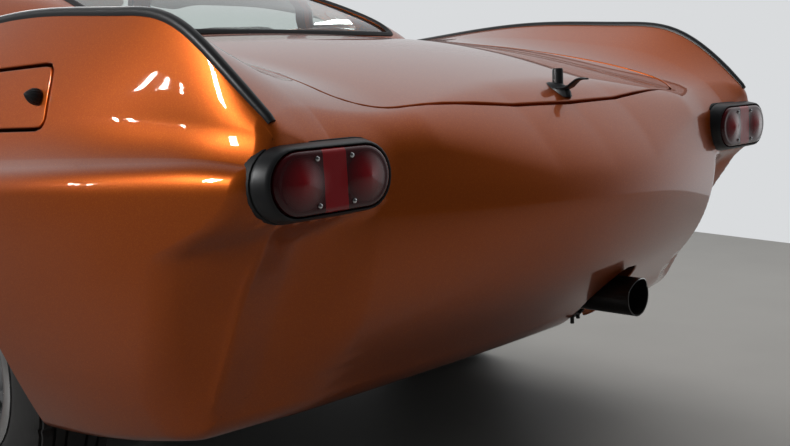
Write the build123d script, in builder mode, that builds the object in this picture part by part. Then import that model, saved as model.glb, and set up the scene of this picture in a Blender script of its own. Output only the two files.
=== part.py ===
from build123d import *
from math import cos, radians, sin, sqrt
import os

os.makedirs("parts", exist_ok=True)

# The origin stands on the ground under the middle of the car. The nose points to -Y,
# the tail to +Y, and the car's left side is +X.

# Overall places
nose_y = -2125
tail_y = 2120
wheelbase = 2450
front_axle_y = -1385
rear_axle_y = front_axle_y + wheelbase
track = 1315
wheel_x = track / 2

# Tyres, rims and arches
tyre_radius = 315
tyre_width = 168
tyre_shoulder = 30
rim_radius = 190
rim_wall = 8
rim_width = 150
rim_face_x = 18
rim_slots = 12
rim_slot_radius = 13
rim_slot_circle = 118
hub_cap_radius = 84
hub_cap_height = 34
arch_clearance = 50
arch_radius = tyre_radius + arch_clearance
front_arch_depth_x = 375
rear_arch_depth_x = 530

# Panel gaps and thicknesses
panel_gap = 6
lid_thickness = 25
glass_thickness = 5
roof_thickness = 30
sheet = 20
running_gap = 0.3

# Doors
door_front_y = -560
door_rear_y = 500
door_rear_slant = 20
door_bottom_z = 296
door_hinge_x = 846
door_top_z = 1000
cabin_half_width = 640

# Bonnet and boot lid, each cut by a surface turned about its own hinge line
bonnet_hinge_y = -703
bonnet_hinge_z = 926
bonnet_half_width = 590
bonnet_reach = 1352
bonnet_side_reach = 1268
bonnet_corner = 60
boot_hinge_y = 1262
boot_hinge_z = 943
boot_half_width = 450
boot_reach = 772
boot_side_reach = 742
boot_corner = 60
stop_radius = 12
bonnet_stop_x = 300
bonnet_stop_y = -1940
boot_stop_x = 250
boot_stop_y = 1972

# Hollow spaces
footwell_front_y = -900
cabin_rear_y = 1000
rear_cabin_half_width = 510
cabin_narrow_y = 560
cabin_roof_z = 860
shelf_rear_y = -440
dash_wall_y = -560
bay_half_width = 345
bay_front_y = -1880
bay_top_z = 705
floor_bottom_z = 205
floor_top_z = floor_bottom_z + sheet
boot_floor_z = 480
boot_wall_y = 1985
boot_lip_y = 1915
boot_side_z = 735
boot_shelf_z = 850
under_half_width = 600
valance_y = 1825

# Windows in the cabin, each outline in the view that looks straight at it
screen_low_x = 572
screen_low_z = 880
screen_high_x = 452
screen_high_z = 1222
screen_limits_y = (-900, -235)
back_window_low_x = 418
back_window_low_z = 962
back_window_high_x = 405
back_window_high_z = 1190
back_window_limits_y = (450, 1330)
window_corner = 40
side_window_inner_x = 470
door_window_rear_y = 482
door_window_low_y = -506
door_window_post_y = -285
door_window_post_z = 1080
door_window_front_y = -185
door_window_top_z = 1168
door_window_crown_y = 90
door_window_crown = 40
pillar_rear_gap = 10
quarter_window_inner_x = 420
quarter_window_front_y = 534
quarter_window_rear_y = 806
quarter_window_low_z = 948
quarter_window_high_z = 1142
quarter_window_point_z = 985
quarter_window_corner = 12

# Fuel flap
flap_front_y = 1343
flap_rear_y = 1550
flap_low_z = 770
flap_high_z = 866
flap_thickness = 10
flap_pocket = 45
flap_corner = 16
flap_knob_y = 1522
flap_knob_z = 817
flap_knob_radius = 11
flap_knob_height = 16
flap_surface_x = 740
flap_lean = 16
filler_radius = 28

# Tail lamps
lamp_x = 598
lamp_z = 685
lamp_width = 240
lamp_height = 104
lamp_base_y = 2000
lamp_rim_y = 2048
lamp_rim_width = 216
lamp_rim_height = 96
lens_width = 194
lens_height = 84
lens_end_y = 2060

# Headlamps and grille
headlamp_x = 600
headlamp_z = 640
headlamp_radius = 96
headlamp_ring = 20
headlamp_back_y = -1930
headlamp_front_y = -2026
headlamp_dome = 26
grille_z = 520
grille_half_width = 400
grille_half_height = 82
grille_front_y = -2092
grille_depth = 24
grille_pocket_y = -2010
grille_pitch_x = 34
grille_pitch_z = 30
grille_bar = 5

# Small lamps in front, and the last sizes of the tail lamps and trims
side_lamp_front_y = -2022
side_lamp_z = 500
side_lamp_radius = 34
side_lamp_back_y = -1932
lens_back_y = 2040
lens_edge = 6
trim_rear_y = 2050
trim_low_z = 735

# Exhaust
exhaust_low_z = 180
exhaust_bend_x = 40
exhaust_arch_y = 200
exhaust_arch_z = 215
exhaust_bend_radius = 60
exhaust_tip_y = 1890
exhaust_bore_depth = 60
manifold_y = -1060
silencer_radius = 55
silencer_z = 376
tank_inner_x = -60
tank_outer_x = 360
tank_low_z = 285
exhaust_x = -185
exhaust_z = 376
exhaust_radius = 38
exhaust_wall = 3
exhaust_end_y = 2040
exhaust_pipe_radius = 24
exhaust_notch_radius = 60
silencer_front_y = 1420
silencer_rear_y = 1800

# Floor and rails, with the pads that a jack lifts
jack_x = 590
jack_half_size = 40
jack_front_y = -480
jack_rear_y = 420
jack_z = 185
rear_floor_z = 470
axle_tube_radius = 32
rail_width = 45
rail_low_z = tyre_radius + axle_tube_radius + running_gap
front_rail_low_z = 440
front_rail_high_z = 500
engine_mount_y = -1240
engine_mount_half_length = 30
tower_width = 50
column_radius = 16
column_length = 225

# Running gear
kingpin_x = 595
kingpin_radius = 16
kingpin_low_z = 235
kingpin_high_z = 400
hub_radius = 60
hub_end_x = wheel_x + rim_face_x - running_gap
brake_radius = 125
brake_x = 640
brake_width = 12
stub_radius = 20
arm_half_width = 40
arm_thickness = 26
crossmember_half_width = bay_half_width - running_gap
axle_casing_radius = 105
drum_width = 48
shaft_radius = 28
gearbox_radius = 94
gearbox_end_y = -450
tunnel_half_width = 100
tunnel_top_z = 440
engine_half_width = 215
engine_front_y = -1520
engine_rear_y = -960
engine_low_z = 290
engine_high_z = 690

# Inside
seat_x = 345
seat_half_width = 215
seat_front_y = -90
seat_rear_y = 420
seat_top_z = 470
seat_back_z = 980
seat_edge = 8
bench_top_z = 610
bench_back_z = 850
bench_back_thickness = 75
dash_low_z = 690
dash_edge = 4
wheel_hand_radius = 188
wheel_hand_grip = 12
wheel_hand_y = -300
wheel_hand_z = 765
column_drop = 16

# Fin trims, handles
trim_inner = 14
trim_outer = 5
trim_front_x = 722
trim_rear_x = 684
trim_front_y = 640
trim_rise = 8
handle_front_y = 318
handle_rear_y = 452
handle_z = 772
handle_out_x = 866
handle_bar = 14
boot_handle_y = 1975
boot_handle_x = 0
boot_handle_half_width = 44
boot_handle_pad = 26
boot_handle_depth = 26
boot_handle_low_z = 740
boot_handle_high_z = 828
boot_handle_lip = 10
boot_barrel_radius = 12
boot_barrel_height = 16
handle_foot = 24

# Each row is one cross section of the painted body, from the nose to the tail.
# Columns: y, z_bottom, x_bottom, x_flank, z_flank, x_ledge, z_ledge, x_root, z_root,
# x_crest, z_crest, x_foot, z_foot, z_deck
BODY_ROWS = [
    (-2150, 400, 560, 690, 480, 720, 580, 716, 610, 660, 655, 440, 672, 680),
    (-1950, 325, 610, 740, 460, 778, 600, 774, 665, 690, 765, 520, 775, 785),
    (-1750, 285, 660, 790, 450, 812, 605, 805, 710, 715, 812, 540, 818, 835),
    (-1385, 260, 700, 815, 450, 834, 620, 822, 740, 722, 847, 560, 848, 872),
    (-900, 215, 730, 826, 450, 844, 640, 828, 770, 730, 880, 600, 888, 912),
    (-500, 200, 740, 832, 450, 847, 650, 830, 785, 735, 900, 640, 912, 935),
    (0, 195, 745, 834, 450, 849, 658, 830, 790, 735, 918, 640, 928, 945),
    (500, 200, 745, 834, 450, 848, 668, 822, 788, 730, 932, 640, 936, 955),
    (1065, 218, 735, 828, 450, 842, 682, 795, 765, 706, 953, 560, 940, 960),
    (1450, 240, 730, 808, 450, 826, 694, 764, 752, 694, 960, 500, 896, 916),
    (1714, 272, 700, 776, 460, 800, 702, 738, 752, 690, 938, 485, 844, 864),
    (1863, 302, 660, 742, 470, 772, 706, 718, 748, 688, 906, 480, 804, 828),
    (1960, 325, 620, 712, 480, 750, 706, 706, 742, 684, 836, 480, 774, 802),
    (2130, 350, 520, 640, 500, 690, 690, 660, 705, 640, 660, 470, 712, 748),
]

# Each row is the outline seen from above at one height, which rounds the nose and the tail.
# Columns: z, y_tail_middle, y_tail_side, y_valley, y_ridge, y_tail_corner,
# y_nose_middle, y_nose_side, y_nose_lamp, y_nose_corner
PLAN_ROWS = [
    (150, 1860, 1835, 1800, 1770, 1660, -1960, -1935, -1870, -1780),
    (330, 1928, 1890, 1850, 1839, 1730, -2060, -2030, -1950, -1850),
    (446, 2046, 1985, 1910, 1905, 1808, -2112, -2078, -1985, -1880),
    (530, 2098, 2028, 1950, 1948, 1855, -2123, -2090, -1998, -1890),
    (620, tail_y, 2042, 2000, 2009, 1912, nose_y, -2090, -2005, -1895),
    (690, 2100, 2036, 2024, 2030, 1980, -2105, -2070, -2000, -1895),
    (760, 2072, 2030, 2026, 2034, 1985, -2060, -2030, -1985, -1890),
    (1050, 2072, 2030, 2026, 2034, 1985, -2060, -2030, -1985, -1890),
]
tail_side_x = 500
valley_x = 615
ridge_x = 675
tail_corner_x = 756
nose_side_x = 400
nose_lamp_x = 620
nose_corner_x = 745
plan_side_x = 950
plan_side_y = 1500

# Each row is one cross section of the cabin above the waist, from the screen to the tail.
# Columns: y, z_top, x_roof, z_roof, x_belt
CABIN_ROWS = [
    (-740, 822, 560, 812, 600),
    (-640, 902, 598, 840, 625),
    (-560, 972, 602, 862, 640),
    (-450, 1075, 590, 962, 655),
    (-335, 1176, 556, 1080, 670),
    (-240, 1238, 516, 1170, 680),
    (-120, 1273, 502, 1218, 687),
    (60, 1288, 498, 1236, 690),
    (300, 1272, 490, 1222, 688),
    (500, 1226, 476, 1178, 680),
    (700, 1165, 464, 1120, 660),
    (900, 1098, 458, 1062, 622),
    (1050, 1042, 456, 1010, 570),
    (1150, 998, 452, 964, 530),
    (1240, 930, 440, 905, 500),
    (1320, 850, 430, 838, 470),
]
belt_z = 800
side_bulge = 24


def crown_drop(half_width, drop, x):
    """How far a symmetric arc has dropped below its middle, at the distance x from it."""
    radius = (half_width**2 + drop**2) / (2 * drop)
    return radius - sqrt(radius**2 - x**2)


def half_crown(half_width, middle, side):
    """Half of a symmetric arc, from its side to its middle, in the open line."""
    via = half_width / 2
    via_height = middle - crown_drop(half_width, abs(middle - side), via) * (1 if middle > side else -1)
    ThreePointArc((half_width, side), (via, via_height), (0, middle))


def body_outline(row):
    """One closed cross section of the painted body."""
    (y, z_bottom, x_bottom, x_flank, z_flank, x_ledge, z_ledge, x_root, z_root,
     x_crest, z_crest, x_foot, z_foot, z_deck) = row
    with BuildSketch(Plane.XZ.offset(-y)) as outline:
        with BuildLine():
            Line((0, z_bottom), (x_bottom, z_bottom))
            ThreePointArc((x_bottom, z_bottom), (x_flank, z_flank), (x_ledge, z_ledge))
            SagittaArc((x_ledge, z_ledge), (x_root, z_root), 6)
            SagittaArc((x_root, z_root), (x_crest, z_crest), -4)
            SagittaArc((x_crest, z_crest), (x_foot, z_foot), 5)
            half_crown(x_foot, z_deck, z_foot)
            mirror(about=Plane.YZ)
        make_face()
    return outline.sketch.face()


def plan_outline(row):
    """One closed outline of the car seen from above."""
    (z, tail_middle, tail_side, valley, ridge, tail_corner,
     nose_middle, nose_side, nose_lamp, nose_corner) = row
    with BuildSketch(Plane.XY.offset(z)) as outline:
        with BuildLine():
            half_crown(tail_side_x, tail_middle, tail_side)
            Line((tail_side_x, tail_side), (valley_x, valley))
            SagittaArc((valley_x, valley), (ridge_x, ridge), -2)
            SagittaArc((ridge_x, ridge), (tail_corner_x, tail_corner), -12)
            Line((tail_corner_x, tail_corner), (plan_side_x, plan_side_y))
            Line((plan_side_x, plan_side_y), (plan_side_x, -plan_side_y))
            Line((plan_side_x, -plan_side_y), (nose_corner_x, nose_corner))
            SagittaArc((nose_corner_x, nose_corner), (nose_lamp_x, nose_lamp), -12)
            SagittaArc((nose_lamp_x, nose_lamp), (nose_side_x, nose_side), -4)
            half_crown(nose_side_x, nose_middle, nose_side)
            mirror(about=Plane.YZ)
        make_face()
    return outline.sketch.face()


def cabin_outline(row, inset):
    """One closed cross section of the cabin, made smaller by a wall's thickness."""
    y, z_top, x_roof, z_roof, x_belt = row
    with BuildSketch(Plane.XZ.offset(-y)) as outline:
        with BuildLine():
            half_crown(x_roof - inset, z_top - inset, z_roof - inset)
            SagittaArc((x_roof - inset, z_roof - inset), (x_belt - inset, belt_z - 2 * inset), side_bulge)
            Line((x_belt - inset, belt_z - 2 * inset), (0, belt_z - 2 * inset))
            mirror(about=Plane.YZ)
        make_face()
    return outline.sketch.face()


def block(x_limits, y_limits, z_limits, mode=Mode.ADD):
    """A box in the open part, given by its limits."""
    limits = (x_limits, y_limits, z_limits)
    middle = tuple((low + high) / 2 for low, high in limits)
    size = tuple(high - low for low, high in limits)
    with Locations(middle):
        Box(*size, mode=mode)


def both(side, inner, outer):
    """Limits along X on one side of the car, given from the middle outwards."""
    return sorted((side * inner, side * outer))


def finish(piece, name):
    """Label a finished piece and write its file."""
    piece.label = name
    export_step(piece, f"parts/{name}.step")
    print(name, round(piece.volume / 1e6, 2), len(piece.solids()), piece.is_valid, flush=True)


far = 3000

# Outer forms, from which the panels are cut
with BuildPart() as plan_form:
    loft(sections=[plan_outline(row) for row in PLAN_ROWS])

with BuildPart() as body_form:
    loft(sections=[body_outline(row) for row in BODY_ROWS])
    add(plan_form.part, mode=Mode.INTERSECT)

with BuildPart() as cabin_form:
    loft(sections=[cabin_outline(row, 0) for row in CABIN_ROWS])

with BuildPart() as cabin_glass_form:
    loft(sections=[cabin_outline(row, glass_thickness) for row in CABIN_ROWS])

with BuildPart() as cabin_inner_form:
    loft(sections=[cabin_outline(row, roof_thickness) for row in CABIN_ROWS])

corner_bulge = 0.22


def turned_region(hinge_y, hinge_z, facing, reach, side_reach, half_width, corner, grow):
    """The space around a hinge line that a lid's outline sweeps, so that its edges never bind."""
    reach = reach + grow
    side_reach = side_reach + grow
    half_width = half_width + grow
    inner_x = half_width - corner
    corner_reach = side_reach - corner
    via_x = inner_x / 2
    via_reach = reach - crown_drop(inner_x, reach - side_reach, via_x)
    with BuildPart() as region:
        with BuildSketch(Plane.XY.offset(hinge_z)):
            with BuildLine():
                Line((0, hinge_y), (half_width, hinge_y))
                Line((half_width, hinge_y), (half_width, hinge_y + facing * corner_reach))
                SagittaArc(
                    (half_width, hinge_y + facing * corner_reach),
                    (inner_x, hinge_y + facing * side_reach),
                    facing * -corner * corner_bulge,
                )
                ThreePointArc(
                    (inner_x, hinge_y + facing * side_reach),
                    (via_x, hinge_y + facing * via_reach),
                    (0, hinge_y + facing * reach),
                )
                mirror(about=Plane.YZ)
            make_face()
        revolve(axis=Axis((0, hinge_y, hinge_z), (1, 0, 0)), revolution_arc=360)
        behind = sorted((hinge_y + facing * (panel_gap / 2 - grow), hinge_y - facing * 3 * reach))
        block((-2 * half_width, 2 * half_width), behind, (-2 * reach, 2 * reach), Mode.SUBTRACT)
    return region.part


def skin(form, region, thickness):
    """The outer skin of a form inside a region."""
    with BuildPart() as piece:
        add(form)
        add(region, mode=Mode.INTERSECT)
        add(form.moved(Location((0, 0, -thickness))), mode=Mode.SUBTRACT)
    return piece.part


body = body_form.part
bonnet_sizes = (
    bonnet_hinge_y, bonnet_hinge_z, -1, bonnet_reach, bonnet_side_reach, bonnet_half_width, bonnet_corner)
bonnet_region = turned_region(*bonnet_sizes, 0)
bonnet_opening = turned_region(*bonnet_sizes, panel_gap)
boot_sizes = (boot_hinge_y, boot_hinge_z, 1, boot_reach, boot_side_reach, boot_half_width, boot_corner)
boot_region = turned_region(*boot_sizes, 0)
boot_opening = turned_region(*boot_sizes, panel_gap)



def door_region(side, grow):
    """The door's upright outline, with a rear edge slanted so that it clears the post."""
    inner_x = cabin_half_width - panel_gap
    outer_x = cabin_half_width + 300

    def rear(x):
        return door_rear_y + grow - door_rear_slant * (door_hinge_x - x) / (door_hinge_x - cabin_half_width)

    corners = [
        (side * inner_x, door_front_y - grow),
        (side * outer_x, door_front_y - grow),
        (side * outer_x, rear(outer_x)),
        (side * inner_x, rear(inner_x)),
    ]
    with BuildPart() as region:
        with BuildSketch(Plane.XY.offset(door_bottom_z - grow)):
            with BuildLine():
                Polyline(*corners, close=True)
            make_face()
        extrude(amount=door_top_z - door_bottom_z)
    return region.part


def flap_region(grow):
    """The fuel flap's rounded outline, seen from the side and drawn out along X."""
    with BuildPart() as region:
        with BuildSketch(Plane.YZ.offset(under_half_width)):
            with Locations(((flap_front_y + flap_rear_y) / 2, (flap_low_z + flap_high_z) / 2)):
                RectangleRounded(
                    flap_rear_y - flap_front_y + 2 * grow, flap_high_z - flap_low_z + 2 * grow, flap_corner)
        extrude(amount=door_hinge_x - under_half_width)
    return region.part


# A clear space above each door's top, where a pillar stands beside it
door_top_space = {}
for side in (-1, 1):
    with BuildPart() as space:
        add(body.moved(Location((0, 0, panel_gap))))
        add(door_region(side, panel_gap), mode=Mode.INTERSECT)
    door_top_space[side] = space.part

# What the lids leave open above the engine, the boot and the filler
with BuildPart() as bonnet_mouth:
    add(bonnet_opening)
    block((-far, far), (-far, far), (bay_top_z, far), Mode.INTERSECT)

with BuildPart() as boot_mouth:
    add(boot_opening)
    block((-far, far), (-far, far), (boot_side_z, far), Mode.INTERSECT)

with BuildPart() as flap_pocket_space:
    add(body)
    add(flap_region(panel_gap), mode=Mode.INTERSECT)
    add(body.moved(Location((-flap_pocket, 0, 0))), mode=Mode.SUBTRACT)

# What the closed lids rest on: stops of rubber, and the filler neck under the flap
with BuildPart() as lid_stops:
    for side in (-1, 1):
        for stop_x, stop_y, low_z in (
                (bonnet_stop_x, bonnet_stop_y, bay_top_z), (boot_stop_x, boot_stop_y, boot_side_z)):
            with Locations((side * stop_x, stop_y, low_z - 1)):
                Cylinder(stop_radius, far, align=(Align.CENTER, Align.CENTER, Align.MIN))
    add(body.moved(Location((0, 0, -lid_thickness - running_gap))), mode=Mode.INTERSECT)

with BuildPart() as filler_neck:
    filler_y = (flap_front_y + flap_rear_y) / 2
    filler_z = (flap_low_z + flap_high_z) / 2
    with Locations(Location((under_half_width, filler_y, filler_z), (0, 90, 0))):
        Cylinder(filler_radius, far, align=(Align.CENTER, Align.CENTER, Align.MIN))
    add(body.moved(Location((-flap_thickness - running_gap, 0, 0))), mode=Mode.INTERSECT)

# The boot's inside, with the open space below its floor
boot_x = (-boot_half_width, boot_half_width)
under_x = (-under_half_width, under_half_width)
with BuildPart() as boot_space:
    block(under_x, (cabin_rear_y, valance_y), (-far, boot_floor_z))
    block(boot_x, (cabin_rear_y + sheet, boot_wall_y), (boot_floor_z, boot_side_z - sheet))
    block(boot_x, (cabin_rear_y + sheet, boot_lip_y), (boot_floor_z, boot_side_z))
    block(boot_x, (cabin_rear_y + sheet, boot_hinge_y), (boot_floor_z, boot_shelf_z))

# The hollow painted shell, before it is divided at its seams
arm_window_y = (front_axle_y - arm_half_width - panel_gap, front_axle_y + arm_half_width + panel_gap)
arm_window_z = (kingpin_high_z - panel_gap, kingpin_high_z + arm_thickness + panel_gap)
with BuildPart() as shell:
    add(body)
    for axle_y, depth_x in ((front_axle_y, front_arch_depth_x), (rear_axle_y, rear_arch_depth_x)):
        for side in (-1, 1):
            with Locations(Location((side * (depth_x + far / 2), axle_y, tyre_radius), (0, 90, 0))):
                Cylinder(arch_radius, far, mode=Mode.SUBTRACT)
    add(bonnet_mouth.part, mode=Mode.SUBTRACT)
    add(boot_mouth.part, mode=Mode.SUBTRACT)
    full_x = (-cabin_half_width, cabin_half_width)
    block(full_x, (footwell_front_y, cabin_narrow_y), (-far, bay_top_z), Mode.SUBTRACT)
    block(full_x, (dash_wall_y, cabin_narrow_y), (bay_top_z, cabin_roof_z), Mode.SUBTRACT)
    block(full_x, (shelf_rear_y, cabin_narrow_y), (cabin_roof_z, far), Mode.SUBTRACT)
    rear_x = (-rear_cabin_half_width, rear_cabin_half_width)
    block(rear_x, (cabin_narrow_y, cabin_rear_y), (-far, far), Mode.SUBTRACT)
    add(boot_space.part, mode=Mode.SUBTRACT)
    bay_x = (-bay_half_width, bay_half_width)
    block(bay_x, (bay_front_y, footwell_front_y), (-far, bay_top_z), Mode.SUBTRACT)
    for side in (-1, 1):
        add(door_region(side, panel_gap), mode=Mode.SUBTRACT)
    add(flap_pocket_space.part, mode=Mode.SUBTRACT)
    block((-front_arch_depth_x, front_arch_depth_x), arm_window_y, arm_window_z, Mode.SUBTRACT)
    with BuildSketch(Plane.XZ.offset(-bay_front_y)):
        with Locations((0, grille_z)):
            Ellipse(grille_half_width, grille_half_height)
    extrude(amount=far, mode=Mode.SUBTRACT)
    for side in (-1, 1):
        for back_y, z, radius in (
                (headlamp_back_y, headlamp_z, headlamp_radius),
                (side_lamp_back_y, side_lamp_z, side_lamp_radius)):
            with Locations(Location((side * headlamp_x, back_y - far / 2, z), (90, 0, 0))):
                Cylinder(radius + running_gap, far, mode=Mode.SUBTRACT)
    with Locations(Location((exhaust_x, valance_y, exhaust_z), (90, 0, 0))):
        Cylinder(exhaust_notch_radius, 2 * (tail_y - valance_y), mode=Mode.SUBTRACT)
    notch_x = (exhaust_x - exhaust_notch_radius, exhaust_x + exhaust_notch_radius)
    block(notch_x, (valance_y - sheet, far), (-far, exhaust_z), Mode.SUBTRACT)
    add(lid_stops.part)
    add(filler_neck.part)

# Each row is one painted panel of the shell: its node and its box.
door_low_z = door_bottom_z - panel_gap
door_front_edge_y = door_front_y - panel_gap
quarter_front_y = door_rear_y - door_rear_slant
every = (-far, far)
cowl_limits = (full_x, (bonnet_hinge_y + panel_gap / 2, shelf_rear_y), (bay_top_z, far))
deck_limits = (boot_x, (cabin_rear_y, boot_hinge_y), every)
tail_limits = (boot_x, (valance_y - sheet, far), every)
PANELS = [
    ("nose_panel", (every, (-far, bay_front_y), every), []),
    ("front_wings", (every, (bay_front_y, door_front_edge_y), every), [cowl_limits]),
    ("cowl_panel", cowl_limits, []),
    ("sills", (every, (door_front_edge_y, quarter_front_y), (-far, door_low_z)), []),
    ("rear_quarters", (every, (quarter_front_y, far), every), [deck_limits, tail_limits]),
    ("rear_deck", deck_limits, []),
    ("tail_panel", tail_limits, []),
]
for name, limits, left_out in PANELS:
    with BuildPart() as panel:
        add(shell.part)
        block(*limits, Mode.INTERSECT)
        for other in left_out:
            block(*other, Mode.SUBTRACT)
    finish(panel.part, name)

with BuildPart() as bonnet:
    add(skin(body, bonnet_region, lid_thickness))
finish(bonnet.part, "bonnet")

with BuildPart() as boot_lid:
    add(skin(body, boot_region, lid_thickness))
finish(boot_lid.part, "boot_lid")

for side, name in ((1, "left"), (-1, "right")):
    with BuildPart() as door:
        add(body)
        add(door_region(side, 0), mode=Mode.INTERSECT)
        block((-cabin_half_width, cabin_half_width), every, every, Mode.SUBTRACT)
    finish(door.part, f"door_{name}")


def frame_along_y(corners, y_limits, corner_radius):
    """A rounded outline seen from the front, drawn out along Y."""
    front_y, rear_y = y_limits
    with BuildPart() as region:
        with BuildSketch(Plane.XZ.offset(-front_y)):
            with BuildLine():
                Polyline(*corners, close=True)
            make_face()
            fillet(vertices(), corner_radius)
        extrude(amount=-(rear_y - front_y))
    return region.part


def door_window(grow):
    """The door window's outline seen from the side, drawn out along X."""
    rear_y = door_window_rear_y + (pillar_rear_gap if grow else 0)
    top_z = door_window_top_z + grow
    front_top = (door_window_front_y - grow / 2, top_z)
    with BuildPart() as region:
        with BuildSketch(Plane.YZ.offset(side_window_inner_x)):
            with BuildLine():
                Polyline(
                    (rear_y, top_z),
                    (rear_y, belt_z),
                    (door_window_low_y - 1.5 * grow, belt_z),
                    (door_window_post_y - grow, door_window_post_z + grow),
                    front_top,
                )
                ThreePointArc(front_top, (door_window_crown_y, top_z + door_window_crown), (rear_y, top_z))
            make_face()
        extrude(amount=door_hinge_x - side_window_inner_x)
    return region.part


screen_region = frame_along_y(
    [(-screen_low_x, screen_low_z), (screen_low_x, screen_low_z),
     (screen_high_x, screen_high_z), (-screen_high_x, screen_high_z)],
    screen_limits_y, window_corner)
back_window_region = frame_along_y(
    [(-back_window_low_x, back_window_low_z), (back_window_low_x, back_window_low_z),
     (back_window_high_x, back_window_high_z), (-back_window_high_x, back_window_high_z)],
    back_window_limits_y, window_corner)

with BuildPart() as quarter_window_region:
    with BuildSketch(Plane.YZ.offset(quarter_window_inner_x)):
        with BuildLine():
            Polyline(
                (quarter_window_front_y, quarter_window_low_z),
                (quarter_window_front_y, quarter_window_high_z),
                (quarter_window_front_y + 76, quarter_window_high_z - 18),
                (quarter_window_rear_y, quarter_window_point_z),
                (quarter_window_rear_y - 34, quarter_window_low_z),
                close=True,
            )
        make_face()
        fillet(vertices(), quarter_window_corner)
    extrude(amount=door_hinge_x - quarter_window_inner_x)

side_windows = [door_window(panel_gap), quarter_window_region.part]

# The roof with its pillars, from the screen to the foot of the back window
with BuildPart() as roof:
    add(cabin_form.part)
    add(cabin_inner_form.part, mode=Mode.SUBTRACT)
    add(screen_region, mode=Mode.SUBTRACT)
    add(back_window_region, mode=Mode.SUBTRACT)
    for window in side_windows:
        add(window, mode=Mode.SUBTRACT)
        add(window.mirror(Plane.YZ), mode=Mode.SUBTRACT)
    add(body, mode=Mode.SUBTRACT)
    for side in (-1, 1):
        add(door_top_space[side], mode=Mode.SUBTRACT)
finish(roof.part, "roof")

with BuildPart() as glass_shell:
    add(cabin_form.part)
    add(cabin_glass_form.part, mode=Mode.SUBTRACT)
    add(body, mode=Mode.SUBTRACT)

with BuildPart() as fixed_windows:
    for window in (screen_region, back_window_region, quarter_window_region.part,
                   quarter_window_region.part.mirror(Plane.YZ)):
        add(glass_shell.part & window)
finish(fixed_windows.part, "fixed_windows")

for side, name in ((1, "left"), (-1, "right")):
    with BuildPart() as door_glass:
        add(glass_shell.part)
        window = door_window(0)
        add(window if side > 0 else window.mirror(Plane.YZ), mode=Mode.INTERSECT)
    finish(door_glass.part, f"door_glass_{name}")

# The fuel flap in the left fin, with the knob that opens it
with BuildPart() as fuel_flap:
    add(body)
    add(flap_region(0), mode=Mode.INTERSECT)
    add(body.moved(Location((-flap_thickness, 0, 0))), mode=Mode.SUBTRACT)
    knob_face_x = flap_surface_x - flap_thickness / 2
    with Locations(Location((knob_face_x, flap_knob_y, flap_knob_z), (0, 90 - flap_lean, 0))):
        Cylinder(
            flap_knob_radius, flap_knob_height + flap_thickness / 2,
            align=(Align.CENTER, Align.CENTER, Align.MIN))
finish(fuel_flap.part, "fuel_flap")

# Grille bars in the nose's mouth
with BuildPart() as grille:
    with BuildSketch(Plane.XZ.offset(-grille_front_y)):
        with Locations((0, grille_z)):
            Ellipse(grille_half_width - running_gap, grille_half_height - running_gap)
            with GridLocations(
                    grille_pitch_x, grille_pitch_z,
                    round(2 * grille_half_width / grille_pitch_x) - 1,
                    round(2 * grille_half_height / grille_pitch_z)):
                Rectangle(grille_pitch_x - grille_bar, grille_pitch_z - grille_bar, mode=Mode.SUBTRACT)
    extrude(amount=-grille_depth)
finish(grille.part, "grille")

# Headlamps, each a bright ring with a domed lens, and the round side lamps below them
with BuildPart() as headlamps:
    for side in (-1, 1):
        lens_radius = headlamp_radius - headlamp_ring
        dome_y = headlamp_front_y - headlamp_dome
        dome_radius = (lens_radius**2 + headlamp_dome**2) / (2 * headlamp_dome)
        middle = side * headlamp_x
        with BuildSketch(Plane.XY.offset(headlamp_z)):
            with BuildLine():
                Polyline(
                    (middle, headlamp_back_y),
                    (middle + headlamp_radius, headlamp_back_y),
                    (middle + headlamp_radius, headlamp_front_y),
                    (middle + lens_radius, headlamp_front_y),
                )
                RadiusArc((middle + lens_radius, headlamp_front_y), (middle, dome_y), dome_radius)
                Line((middle, dome_y), (middle, headlamp_back_y))
            make_face()
        revolve(axis=Axis((middle, 0, headlamp_z), (0, 1, 0)), revolution_arc=360)
        with Locations(Location((middle, side_lamp_front_y, side_lamp_z), (-90, 0, 0))):
            Cylinder(
                side_lamp_radius, side_lamp_back_y - side_lamp_front_y,
                align=(Align.CENTER, Align.CENTER, Align.MIN))
finish(headlamps.part, "headlamps")

# Tail lamp housings and lenses
with BuildPart() as lamp_housings:
    for side in (-1, 1):
        for y, width, height in (
                (lamp_base_y, lamp_width, lamp_height), (lamp_rim_y, lamp_rim_width, lamp_rim_height)):
            with BuildSketch(Plane.XZ.offset(-y)):
                with Locations((side * lamp_x, lamp_z)):
                    SlotOverall(width, height)
        loft()
        with BuildSketch(Plane.XZ.offset(-lens_back_y)):
            with Locations((side * lamp_x, lamp_z)):
                SlotOverall(lens_width, lens_height)
        extrude(amount=-lens_end_y, mode=Mode.SUBTRACT)
    add(body, mode=Mode.SUBTRACT)
finish(lamp_housings.part, "tail_lamp_housings")

with BuildPart() as lamp_lenses:
    for side in (-1, 1):
        with BuildSketch(Plane.XZ.offset(-lens_back_y)):
            with Locations((side * lamp_x, lamp_z)):
                SlotOverall(lens_width, lens_height)
        extrude(amount=-(lens_end_y - lens_back_y))
    chamfer(faces().sort_by(Axis.Y)[-2:].edges(), lens_edge)
finish(lamp_lenses.part, "tail_lamp_lenses")

# Black trims along the crests of the fins
with BuildPart() as crest_space:
    with BuildSketch(Plane.XY.offset(trim_low_z)):
        with BuildLine():
            Polyline(
                (trim_front_x - trim_inner, trim_front_y), (trim_front_x + trim_outer, trim_front_y),
                (trim_rear_x + trim_outer, trim_rear_y), (trim_rear_x - trim_inner, trim_rear_y), close=True)
        make_face()
        mirror(about=Plane.YZ)
    extrude(amount=far)

with BuildPart() as fin_trims:
    add(body.moved(Location((0, trim_rise / 2, trim_rise))))
    add(crest_space.part, mode=Mode.INTERSECT)
    add(body, mode=Mode.SUBTRACT)
finish(fin_trims.part, "fin_trims")

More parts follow.
